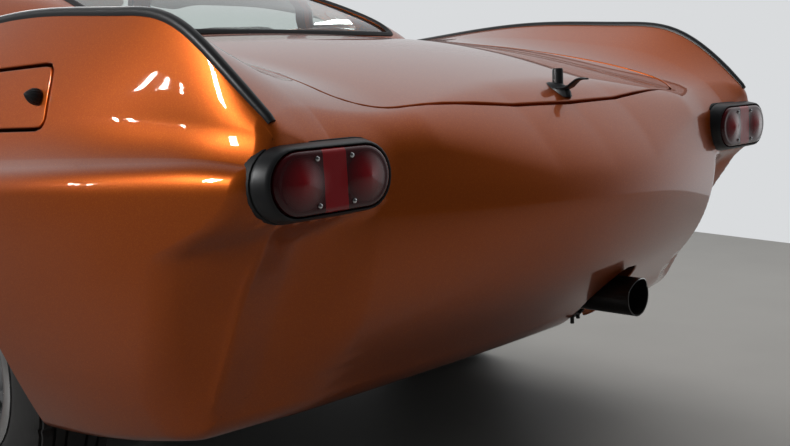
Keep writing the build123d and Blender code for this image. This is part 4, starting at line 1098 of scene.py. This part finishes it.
def glass_piece(name, field, grow, body, side=0):
    """A pane that fills a window and reaches under its seal."""
    glass = cut(inset(cabin_skin, 5), field, grow)[:3]
    if side:
        glass = half_of(glass, side)
    piece = skin_piece(name, glass, body, window_glass)
    return piece


screen_glass = glass_piece("windscreen_glass", screen_field, 8, "car_body")
glass_piece("back_window_glass", back_field, 8, "car_body")
glass_piece("quarter_window_glass", quarter_field, 8, "car_body")
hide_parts("fixed_windows")
for side, name in SIDES:
    door_glass = glass_piece(f"door_glass_pane_{name}", door_window_field, 4, f"door_{name}", side)
    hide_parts(f"door_glass_{name}")

seal_profile = [(-9, -3), (-9, 1.5), (-7, 4), (-2, 5), (3, 3.2), (8, 1.8), (9, -3)]
frame_profile = [(-6, -3), (-6, 1), (-4, 2.6), (0, 3.2), (4, 2.6), (6, 1), (6, -3)]
for name, field, profile, material in (
        ("windscreen_seal", screen_field, seal_profile, black_rubber),
        ("back_window_seal", back_field, seal_profile, black_rubber),
        ("quarter_window_frame", quarter_field, frame_profile, chrome)):
    loops = seam_lines(cabin_skin, field, 0, 9)
    seal = joined(*[swept(path, ups, profile, closed) for path, ups, closed in loops])
    mesh_piece(name, *seal, "car_body", material, 50)


# Wheels
# Radial tyres with six ribs and cut shoulders sit on silver-painted steel rims with bright
# trim rings and plain domed caps.
WHEEL_X = 657.5
tread_angles = 200
sidewall = [
    (188, -66), (191, -70), (196, -74), (215, -79), (240, -83), (262, -83.5), (282, -81), (298, -77),
    (307, -72)]
profile = list(sidewall)
# Across a rib: its two edges, its shoulders 0.6 mm in from them, and its crown.
rib_half = 9.5
rib_profile = (
    (306.5, -rib_half), (314, 0.6 - rib_half), (314.6, 0), (314, rib_half - 0.6), (306.5, rib_half))
for rib in (-58, -33, -9, 9, 33, 58):
    profile += [(radius, rib + x) for radius, x in rib_profile]
profile += [(radius, -x) for radius, x in sidewall[::-1]]
turn = np.linspace(0, 2 * math.pi, tread_angles, endpoint=False)
sipe = (np.arange(tread_angles) % 5 == 0).astype(float)
tyre_points = []
for radius, x in profile:
    if radius > 296 and abs(x) > 48:
        size = radius - 5.5 * sipe
    elif radius > 310:
        size = radius - 1.6 * np.roll(sipe, 2)
    else:
        size = np.full(tread_angles, float(radius))
    level = np.full(tread_angles, float(x))
    tyre_points.append(np.column_stack([level, size * np.cos(turn), size * np.sin(turn)]))
tyre = (np.concatenate(tyre_points), ring_faces(len(profile), tread_angles))

# Tyre rubber: the tread is dull, and the sidewall carries fine moulded rings 4 mm apart.
tyre_rubber = new_material("tyre_rubber")
axes = axes_on(tyre_rubber)
side_rings = waves(tyre_rubber, far_from(tyre_rubber, axes["Y"], axes["Z"]), 0.004)
finish_material(
    tyre_rubber, {"Roughness": 0.7},
    {"Base Color": colour_mix(tyre_rubber, "#151515", "#2A2928", noise_on(tyre_rubber, 40.0, 5.0)),
     "Normal": relief(tyre_rubber, side_rings, 0.12, 0.0005)})

trim_ring = lathe([
    (166, 0), (168, 3), (176, 5.5), (184, 5), (190, 2.5), (194, 0.5), (194, -1.5), (166, -2)], 96, "x")
valve = moved(lathe([(3.5, -6), (3.5, 10), (4.2, 11), (4.2, 17), (0.01, 18)], 12, "x"), (0, 0, -150))
for axle_y, end in ((FRONT_AXLE_Y, "front"), (REAR_AXLE_Y, "rear")):
    for side, name in SIDES:
        hub = np.array([side * WHEEL_X, axle_y, AXLE_Z])
        body = f"wheel_{end}_{name}"
        turned = mirrored if side < 0 else (lambda part: part)
        tyre_piece = mesh_piece(
            f"tyre_tread_{end}_{name}", *moved(turned(tyre), hub), body, tyre_rubber, 30, origin=hub)
        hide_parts(f"tyre_{end}_{name}")
        bright = joined(moved(trim_ring, (76, 0, 0)), moved(valve, (66, 0, 0)))
        mesh_piece(f"rim_trim_ring_{end}_{name}", *moved(turned(bright), hub), body, chrome, 40)

# Painted steel of the rims and other pressed parts is a satin silver with a soft sheen.
silver_paint = finish_material(
    new_material("silver_wheel_paint"),
    {"Base Color": linear("#9A9C9E"), "Metallic": 0.8, "Roughness": 0.36, "Coat Weight": 0.4})


# Inner panels
# Pressed inner panels close the doors, lids and arches behind the outer skin. They are spot
# welded from thin steel and painted with the body or sprayed black underneath.


def slab(x, y, z, edge=2.0):
    """A box between limits with its edges taken off."""
    points, faces = [], []
    limits = [sorted(v) for v in (x, y, z)]
    middle = np.array([sum(v) / 2 for v in limits])
    half = np.array([(v[1] - v[0]) / 2 for v in limits])
    cut_edge = min(edge, *(half * 0.8))
    numbers = {}
    for sx in (-1, 1):
        for sy in (-1, 1):
            for sz in (-1, 1):
                for axis in range(3):
                    shrink = np.full(3, cut_edge)
                    shrink[axis] = 0
                    numbers[sx, sy, sz, axis] = len(points)
                    points.append(middle + np.array([sx, sy, sz]) * (half - shrink))
    corners = [(-1, -1), (1, -1), (1, 1), (-1, 1)]

    def key(axis, sign, a, b):
        spot = [0, 0, 0]
        spot[axis], spot[(axis + 1) % 3], spot[(axis + 2) % 3] = sign, a, b
        return spot

    for axis in range(3):
        for sign in (-1, 1):
            face = [numbers[(*key(axis, sign, a, b), axis)] for a, b in corners]
            faces.append(face if sign > 0 else face[::-1])
        other, third = (axis + 1) % 3, (axis + 2) % 3
        for a in (-1, 1):
            for b in (-1, 1):
                low, high = key(axis, -1, a, b), key(axis, 1, a, b)
                face = [numbers[(*low, other)], numbers[(*high, other)], numbers[(*high, third)],
                        numbers[(*low, third)]]
                faces.append(face if a * b < 0 else face[::-1])
    for sx in (-1, 1):
        for sy in (-1, 1):
            for sz in (-1, 1):
                face = [numbers[sx, sy, sz, axis] for axis in range(3)]
                faces.append(face if sx * sy * sz > 0 else face[::-1])
    return np.array(points), faces


# Body-coloured paint inside the car has no clear coat and looks flatter.
inner_paint = finish_material(
    new_material("inner_body_paint"),
    {"Base Color": linear("#A4531C"), "Metallic": 0.4, "Roughness": 0.5})

# Underbody coating is a black rubbery spray with a pebbled grain of about 3 mm.
under_seal = new_material("underbody_coating")
finish_material(
    under_seal, {"Base Color": linear("#161616"), "Roughness": 0.75},
    {"Normal": relief(under_seal, noise_on(under_seal, 320.0, 3.0), 0.4, 0.001)})


def lining(field, level, depth):
    """The back of an outer panel: its surface moved inwards, inside a level of its outline."""
    points, normals, faces = cut(skin, field, level)[:3]
    return points - normals * depth, -normals, [f[::-1] for f in faces]


skin_piece("bonnet_inner_panel", lining(bonnet_field, -6, 17), "bonnet", inner_paint)
skin_piece("boot_lid_inner_panel", lining(boot_field, -6, 17), "boot_lid", inner_paint)
skin_piece("fuel_flap_back", lining(flap_field, -4, 8), "fuel_flap", inner_paint)


def flank_x(y, z):
    """How far out the painted side lies at a height, on or below its ledge."""
    place = np.clip((y - stations[0]) / 10.0, 0, len(stations) - 2)
    i = int(place)
    line = sections[:, i] * (1 - place + i) + sections[:, i + 1] * (place - i)
    low = places <= 2.0
    return float(np.interp(z, line[low, 1][10:], line[low, 0][10:]))


def arch_liner(axle_y, inner_x):
    """The well behind a wheel arch: a curved top and a flat inner wall."""
    angles = np.radians(np.linspace(-14, 194, 49))
    out_y, up_z = (arch_radius + 4) * np.cos(angles), (arch_radius + 4) * np.sin(angles)
    y, z = axle_y + out_y, AXLE_Z + up_z
    outer = np.array([flank_x(a, b) - 5 for a, b in zip(y, z)])
    inner = np.full(len(y), float(inner_x))
    rows = [np.column_stack([inner + (outer - inner) * s, y, z]) for s in (1, 0.66, 0.33, 0.03, 0)]
    rows += [np.column_stack([inner, axle_y + out_y * s, AXLE_Z + up_z * s]) for s in (0.97, 0.6, 0.35)]
    return np.concatenate(rows), ring_faces(len(rows), len(y), closed=False)


liners = joined(*[both_sides(arch_liner(y, x)) for y, x in ((FRONT_AXLE_Y, 372), (REAR_AXLE_Y, 528))])
mesh_piece("arch_liners", *liners, "car_body", under_seal, 50)

bay = [slab((345, 352), (-1890, -905), (250, 700)), slab((345, 586), (-1900, -905), (692, 700)),
       slab((340, 352), (-1890, -905), (688, 704))]
front = [slab((-490, 490), (-2010, -1890), (686, 694)), slab((-490, 490), (-1895, -1888), (600, 692)),
         slab((-345, 345), (-905, -898), (560, 704)), slab((-586, 586), (-905, -720), (696, 704))]
mesh_piece("engine_bay_panels", *joined(*[both_sides(p) for p in bay], *front), "car_body", inner_paint)
boot_walls = [slab((446, 452), (1025, 1950), (480, 776)), slab((452, 470), (1300, 1950), (726, 733))]
boot_back = [slab((-450, 450), (1980, 1986), (480, 722)), slab((-450, 450), (1918, 1986), (722, 730)),
             slab((-450, 450), (1000, 1262), (846, 852)), slab((-450, 450), (1020, 1026), (480, 846))]
boot_panels = joined(*[both_sides(p) for p in boot_walls], *boot_back)
mesh_piece("boot_panels", *boot_panels, "car_body", inner_paint)

# Carpet on the boot floor: short black loops.
carpet = new_material("black_carpet")
finish_material(
    carpet, {"Base Color": linear("#1D1C1C"), "Roughness": 0.95},
    {"Normal": relief(carpet, cells_on(carpet, 420.0)["Distance"], 0.8, 0.002)})
mats = [slab((-440, 440), (1032, 1970), (481, 487), 3)]
mats += [slab((s * 130, s * 600), (-880, 380), (226, 231), 3) for s in (-1, 1)]
mesh_piece("carpets", *joined(*mats), "car_body", carpet)

# Door linings and sills
# Black leatherette over board, with an armrest and a winder on each door.
leatherette = new_material("black_leatherette")
finish_material(
    leatherette, {"Base Color": linear("#1E1A18"), "Roughness": 0.46},
    {"Normal": relief(leatherette, cells_on(leatherette, 700.0)["Distance"], 0.25, 0.0004)})
for side, name in SIDES:
    board = joined(
        slab((side * 646, side * 654), (-548, 472), (304, 886), 4),
        slab((side * 640, side * 648), (-520, 440), (340, 600), 4),
        slab((side * 608, side * 648), (-150, 250), (600, 640), 12))
    mesh_piece(f"door_lining_{name}", *board, f"door_{name}", leatherette)
    boss = lathe([(0.01, 0), (16, 0), (16, 6), (10, 12), (0.01, 12)], 20, "x")
    winder = joined(
        moved(boss, (side * 634 - 6, -250, 560)),
        slab((side * 622, side * 632), (-256, -244), (480, 562), 3),
        slab((side * 606, side * 630), (-259, -241), (478, 496), 6))
    mesh_piece(f"door_winder_{name}", *winder, f"door_{name}", chrome, 40)
side_panels = [slab((514, 520), (560, 1000), (300, 900)), slab((520, 636), (548, 560), (300, 905)),
               slab((640, 646), (480, 560), (296, 905)), slab((640, 648), (-556, 480), (226, 288))]
mesh_piece("cabin_side_panels", *joined(*[both_sides(p) for p in side_panels]), "car_body", leatherette)

# Seats
# Leather over soft foam on a hidden frame; the pleats of the middles run fore and aft.
seat_leather = new_material("seat_leather")
pleat = math_node(seat_leather, "ABSOLUTE", waves(seat_leather, axes_on(seat_leather)["X"], 0.05))
pleat_edge = math_node(seat_leather, "POWER", pleat, 0.35)
finish_material(
    seat_leather, {"Base Color": linear("#241D19"), "Roughness": 0.42},
    {"Normal": relief(seat_leather, pleat_edge, 0.6, 0.008)})


def cushion(place, size, tilt=0.0, steps=28):
    """A soft pad with full edges, tilted about the X axis."""
    u = np.linspace(-math.pi, math.pi, steps * 2, endpoint=False)
    v = np.linspace(-math.pi / 2, math.pi / 2, steps)

    def power(value, exponent):
        return np.sign(value) * np.abs(value) ** exponent

    points = []
    for angle in v:
        round_v = power(np.cos(angle), 0.35)
        points.append(np.column_stack([
            size[0] / 2 * round_v * power(np.cos(u), 0.3), size[1] / 2 * round_v * power(np.sin(u), 0.3),
            np.full(len(u), size[2] / 2 * power(np.sin(angle), 0.6))]))
    x, y, z = np.concatenate(points).T
    c, s = math.cos(tilt), math.sin(tilt)
    return np.column_stack([x, y * c - z * s, y * s + z * c]) + place, ring_faces(steps, len(u))


# One pad a row: its name, the solid it stands for, its middle, its size and its tilt.
PADS = (
    ("seat_cushion", "seats", (345, 165, 405), (420, 500, 130), 0.06),
    ("seat_back", "seats", (345, 480, 705), (420, 110, 510), -0.22),
    ("seat_cushion_bolster", "seats", (345, 165, 375), (430, 490, 90), 0.06),
    ("rear_cushion", "rear_bench", (250, 745, 562), (470, 370, 120), 0.04),
    ("rear_back", "rear_bench", (250, 955, 735), (470, 95, 250), -0.22))
for side, name in SIDES:
    for part, node, middle, size, tilt in PADS:
        centre = np.array(middle, float) * (side, 1, 1)
        pad_mesh = cushion(centre, size, tilt)
        pad = mesh_piece(f"{part}_{name}", *pad_mesh, "car_body", seat_leather, 60, origin=centre)
        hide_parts(node)

# Painted steel frames carry the cushions on two rails each.
frames = []
for side in (1, -1):
    frames += [slab((side * x - 12, side * x + 12), (-60, 400), (228, 318), 4) for x in (205, 485)]
    frames.append(slab((side * 345 - 180, side * 345 + 180), (-50, 400), (314, 326), 5))
    frames.append(slab((side * 250 - 225, side * 250 + 225), (570, 930), (474, 500), 5))
mesh_piece("seat_frames", *joined(*frames), "car_body", satin_black)


# Grille and lamps
# A bright egg-crate grille fills the oval mouth. Round headlamps with bright rims and domed
# glass stand in the wings, and small amber lamps sit below them.
MOUTH_Z, MOUTH_BOW = 520, 30
INNER_X, INNER_Z = 386, 68
mouth_turn = np.linspace(0, 2 * math.pi, 96, endpoint=False)


def oval(half_x, half_z, y):
    """The mouth's outline at one depth."""
    level = np.full(len(mouth_turn), float(y))
    return np.column_stack([half_x * np.cos(mouth_turn), level, MOUTH_Z + half_z * np.sin(mouth_turn)])


surround_rows = (
    (400, 82, -2040), (402, 84, -2086), (400, 82, -2094), (394, 76, -2097), (388, 70, -2094),
    (INNER_X, INNER_Z, -2080), (INNER_X, INNER_Z, -2030))
surround = []
for half_x, half_z, y in surround_rows:
    ring = oval(half_x, half_z, y)
    ring[:, 1] += MOUTH_BOW * np.cos(mouth_turn) ** 2 * (ring[:, 0] / 400) ** 2
    surround.append(ring)
surround = (np.concatenate(surround), ring_faces(len(surround), len(mouth_turn)))
bars = []
for x in np.arange(-374, 375, 34):
    half = INNER_Z * math.sqrt(max(0, 1 - (x / INNER_X) ** 2))
    if half > 10:
        back = MOUTH_BOW * (x / 400) ** 2
        bars.append(slab(
            (x - 1.6, x + 1.6), (-2088 + back, -2064 + back), (MOUTH_Z - half, MOUTH_Z + half), 0.8))
bar_profile = [(-1.3, -9), (1.3, -9), (1.3, 9), (-1.3, 9)]
for z in np.arange(475, 566, 15):
    half = INNER_X * math.sqrt(max(0, 1 - ((z - MOUTH_Z) / INNER_Z) ** 2))
    steps = np.linspace(-half, half, 25)
    path = np.column_stack([steps, -2078 + MOUTH_BOW * (steps / 400) ** 2, np.full(25, float(z))])
    bars.append(swept(path, np.tile([0.0, -1.0, 0.0], (25, 1)), bar_profile))
grille_piece = mesh_piece("grille_bars", *joined(surround, *bars), "car_body", chrome, 40)
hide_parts("grille")
# Painted shade: a flat black sheet across the mouth, just behind the bars, stands for the dark inside.
mouth_shade_sheet = (oval(392, 76, -2030), [list(range(96))])
mesh_piece("grille_shade_sheet", *mouth_shade_sheet, "car_body", satin_black)

# Clear pressed lamp glass with vertical flutes 8 mm apart.
lamp_glass = new_material("lamp_glass")
flutes = waves(lamp_glass, axes_on(lamp_glass)["X"], 0.008)
finish_material(
    lamp_glass,
    {"Base Color": linear("#EEF2F3"), "Roughness": 0.03, "IOR": 1.5, "Transmission Weight": 0.85},
    {"Normal": relief(lamp_glass, flutes, 0.5, 0.001)})
# Amber glass is milky, so it glows evenly without showing its bulb.
amber_glass = finish_material(
    new_material("amber_glass"),
    {"Base Color": linear("#D9731A"), "Roughness": 0.12, "IOR": 1.5, "Transmission Weight": 0.4})
lamp_rim = lathe([
    (97, 40), (98, 4), (98, -6), (96, -12), (90, -16), (84, -16), (80, -12), (78, -4), (60, 10), (30, 26),
    (0.01, 30)], 64)
lamp_dome = lathe([(82, -8), (80, -14), (70, -22), (50, -29), (25, -33), (0.01, -34)], 64)
small_rim = lathe([(34, 30), (34, 0), (32, -4), (28, -5), (26, -2), (10, 4), (0.01, 4)], 36)
small_dome = lathe([(27, -3), (24, -10), (14, -15), (0.01, -17)], 36)
lamp_at, small_at = (HEADLAMP_X, -1996, HEADLAMP_Z), (HEADLAMP_X, -2004, 500)
bright_lamps = joined(moved(lamp_rim, lamp_at), moved(small_rim, small_at))
lamp_piece = mesh_piece("headlamp_rims", *both_sides(bright_lamps), "car_body", chrome, 40)
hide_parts("headlamps")
glass_domes = mesh_piece(
    "headlamp_glasses", *both_sides(moved(lamp_dome, lamp_at)), "car_body", lamp_glass, 40)
mesh_piece("side_lamp_glasses", *both_sides(moved(small_dome, small_at)), "car_body", amber_glass, 40)


# Underbody and running gear
# The pressed floor carries black coating, the engine and gearbox are cast, the axles and arms
# are forged and painted, and the fuel tank and exhaust hang on the floor. These keep the
# construction's own meshes and get their surfaces here.


def grainy(name, low, high, size_mm, roughness, metallic=0.0, bump=0.3):
    """A material whose colour and relief vary with a fine grain."""
    material = new_material(name)
    grain = noise_on(material, 1000.0 / size_mm, 4.0)
    return finish_material(
        material, {"Roughness": roughness, "Metallic": metallic},
        {"Base Color": colour_mix(material, low, high, grain),
         "Normal": relief(material, grain, bump, size_mm / 4000)})


# Cast iron in dull engine enamel shows sand marks about 2 mm wide.
engine_enamel = grainy("engine_enamel", "#5A1A14", "#6E241A", 2.0, 0.5)
# The gearbox and axle casings are rough castings in black paint with road dust.
casting_black = grainy("black_casting_paint", "#1E1D1C", "#322F2B", 3.0, 0.6)
# Forged arms and hubs are bare grey steel with oil and fine rust.
forged_steel = grainy("forged_steel", "#4A4846", "#6B6560", 1.5, 0.5, 0.8)
# The fuel tank is tin-plated sheet, dulled by dust, with a soft spangle 8 mm wide.
tank_plate = grainy("tin_plate", "#6E7072", "#86888A", 8.0, 0.45, 0.8, 0.1)
# The dashboard has soft black crackle paint, 1.5 mm between its wrinkles.
crackle_paint = grainy("black_crackle_paint", "#141414", "#242322", 1.5, 0.6, 0.0, 0.6)
kept_surfaces = {
    "floor_pan": under_seal, "fuel_tank": tank_plate, "engine": engine_enamel, "driveline": casting_black,
    "rear_axle": casting_black, "front_crossmember": casting_black, "knuckle_left": forged_steel,
    "knuckle_right": forged_steel, "exhaust": pipe_black, "dashboard": crackle_paint,
    "steering_wheel": satin_black, "door_handle_left": chrome, "door_handle_right": chrome,
    "rim_front_left": silver_paint, "rim_front_right": silver_paint, "rim_rear_left": silver_paint,
    "rim_rear_right": silver_paint}
for node, surface in kept_surfaces.items():
    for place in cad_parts[node].material_slots:
        place.material = surface


# Engine bay
# Bolted to the engine block are a ribbed cover, two round air cleaners and a belt pulley with
# its fan. A finned radiator stands ahead of them, and a shield and the battery flank the block.
# Cast aluminium covers are bright bare metal, finely blasted.
cast_aluminium = grainy("cast_aluminium", "#A9ABAD", "#B9BBBD", 1.0, 0.38, 1.0, 0.15)
head_cover = joined(
    slab((-70, 70), (-1480, -1010), (690, 712), 8),
    *[slab((-52, 52), (y - 4, y + 4), (710, 718), 3) for y in range(-1450, -1030, 28)])
mesh_piece("engine_head_cover", *head_cover, "car_body", cast_aluminium, 35)
air_cleaner = lathe(
    [(0.01, 52), (60, 52), (88, 48), (92, 40), (92, 6), (84, 0), (40, -4), (40, -60)], 40, "z")
heat_shield = slab((-215, -205), (-1480, -1000), (420, 560), 4)
battery = slab((230, 330), (-1000, -920), (560, 690), 6)
side_parts = joined(
    moved(air_cleaner, (140, -1330, 655)), moved(air_cleaner, (140, -1130, 655)), heat_shield, battery)
mesh_piece("engine_air_cleaners", *side_parts, "car_body", casting_black, 35)
pulley = lathe([(0.01, -12), (58, -12), (60, -8), (52, 0), (60, 8), (58, 12), (30, 14), (30, 30)], 40)
blade_y = (-1556, -1552)
blades = [slab((-9, 9), blade_y, z, 2) for z in ((500, 610), (330, 440))]
blades += [slab(x, blade_y, (461, 479), 2) for x in ((30, 140), (-140, -30))]
fan = joined(moved(pulley, (0, -1535, 470)), *blades)
mesh_piece("engine_fan", *fan, "car_body", cast_aluminium, 35)
radiator = [slab((-230, 230), (-1870, -1800), z, 8) for z in ((640, 684), (300, 340))]
radiator += [slab((x - 1, x + 1), (-1862, -1808), (338, 642), 0.5) for x in range(-225, 226, 10)]
mesh_piece("radiator_core", *joined(*radiator), "car_body", casting_black, 35)


# Camera and studio
# The camera stands behind the left rear wing at the photograph's angle. A pale floor and
# soft lamps overhead light the car plainly, and the background comes from the world.
wall_foot, wall_way = np.array([-3.10, 0.66]), np.array([0.235, 0.972])
far_side = np.array([-wall_way[1], wall_way[0]])
floor_reach = ((-30, 0), (30, 0), (30, 40), (-30, 40))
floor_corners = [wall_foot + wall_way * a - far_side * b for a, b in floor_reach]
floor_mesh = bpy.data.meshes.new("studio_floor")
floor_mesh.from_pydata([(x, y, 0) for x, y in floor_corners], [], [(0, 1, 2, 3)])
floor_piece = bpy.data.objects.new("studio_floor", floor_mesh)
bpy.context.collection.objects.link(floor_piece)
# Painted concrete is a matt grey, faintly clouded by wear.
painted_concrete = new_material("painted_concrete")
clouds = noise_on(painted_concrete, 3.0, 6.0)
finish_material(
    painted_concrete, {"Roughness": 0.55},
    {"Base Color": colour_mix(painted_concrete, "#8C8A86", "#989692", clouds)})
floor_mesh.materials.append(painted_concrete)

# The room: a bright wall on the far side that the paint mirrors, a dim room behind the camera,
# and the same pale wall wherever the camera looks past the floor.
world = bpy.data.worlds.new("studio")
bpy.context.scene.world = world
world.use_nodes = True
world.node_tree.nodes.clear()
rays = add_node(world, "ShaderNodeLightPath")
towards_wall = add_node(
    world, "ShaderNodeVectorMath", links={0: add_node(world, "ShaderNodeTexCoord").outputs["Generated"]},
    values={1: (-0.80, -0.58, 0.15)}, operation="DOT_PRODUCT")
room_light = add_node(
    world, "ShaderNodeMapRange", {"From Min": 0.0, "From Max": 0.8, "To Min": 0.05, "To Max": 0.95},
    {"Value": towards_wall.outputs["Value"]}, interpolation_type="SMOOTHSTEP")
wall_colour = linear("#D9DBDD")
wall = add_node(world, "ShaderNodeBackground", {"Color": wall_colour, "Strength": 1.0})
room = add_node(world, "ShaderNodeBackground", {"Color": wall_colour}, {"Strength": room_light.outputs[0]})
air = add_node(world, "ShaderNodeBackground", {"Color": wall_colour, "Strength": 0.25})
mirrored_room = add_node(
    world, "ShaderNodeMixShader",
    links={0: rays.outputs["Is Glossy Ray"], 1: air.outputs[0], 2: room.outputs[0]})
seen = add_node(
    world, "ShaderNodeMixShader",
    links={0: rays.outputs["Is Camera Ray"], 1: mirrored_room.outputs[0], 2: wall.outputs[0]})
add_node(world, "ShaderNodeOutputWorld", links={"Surface": seen.outputs[0]})


def soft_lamp(name, place, target, width, depth, power, spread=180):
    """A rectangular lamp that faces a point."""
    lamp = bpy.data.lights.new(name, "AREA")
    lamp.shape = "RECTANGLE"
    lamp.size, lamp.size_y, lamp.energy = width, depth, power
    lamp.spread = math.radians(spread)
    holder = bpy.data.objects.new(name, lamp)
    bpy.context.collection.objects.link(holder)
    holder.location = place
    way = np.array(target, float) - np.array(place, float)
    holder.rotation_mode = "QUATERNION"
    holder.rotation_quaternion = Vector(way).to_track_quat("-Z", "Y")
    return holder


ceiling_lamp = soft_lamp("ceiling_lamp", (-1.8, 1.6, 3.6), (-1.0, 1.6, 0.6), 4.2, 3.2, 90, 150)
ceiling_lamp.visible_glossy = False
soft_lamp("side_lamp", (4.0, 0.3, 2.6), (0.3, 1.2, 0.9), 0.25, 0.7, 12, 50)
soft_lamp("front_lamp", (-1.5, -4.5, 3.4), (0, -1.0, 0.6), 2.4, 1.4, 90)
for place_x, place_y in ((5.85, -4.33), (6.32, -4.46), (6.62, -4.24)):
    soft_lamp("ceiling_tube", (place_x, place_y, 2.9), (0.71, 1.85, 0.82), 0.06, 0.3, 0.8, 60)

yaw, pitch, roll = math.radians(44.5), math.radians(7.8), math.radians(-3.03)
ahead = Vector((-math.sin(yaw) * math.cos(pitch), -math.cos(yaw) * math.cos(pitch), -math.sin(pitch)))
level = Vector((-math.cos(yaw), math.sin(yaw), 0))
upward = level.cross(ahead)
right = level * math.cos(roll) + upward * math.sin(roll)
top = upward * math.cos(roll) - level * math.sin(roll)
lens = bpy.data.cameras.new("photo_view")
lens.sensor_width = 36.0
lens.lens = 937.0 * 36.0 / 790
lens.clip_start = 0.05
camera = bpy.data.objects.new("photo_view", lens)
bpy.context.collection.objects.link(camera)
camera.matrix_world = Matrix((
    (right.x, top.x, -ahead.x, 1.402), (right.y, top.y, -ahead.y, 2.989),
    (right.z, top.z, -ahead.z, 0.792), (0, 0, 0, 1)))
bpy.context.scene.camera = camera
bpy.context.scene.view_settings.view_transform = "Standard"
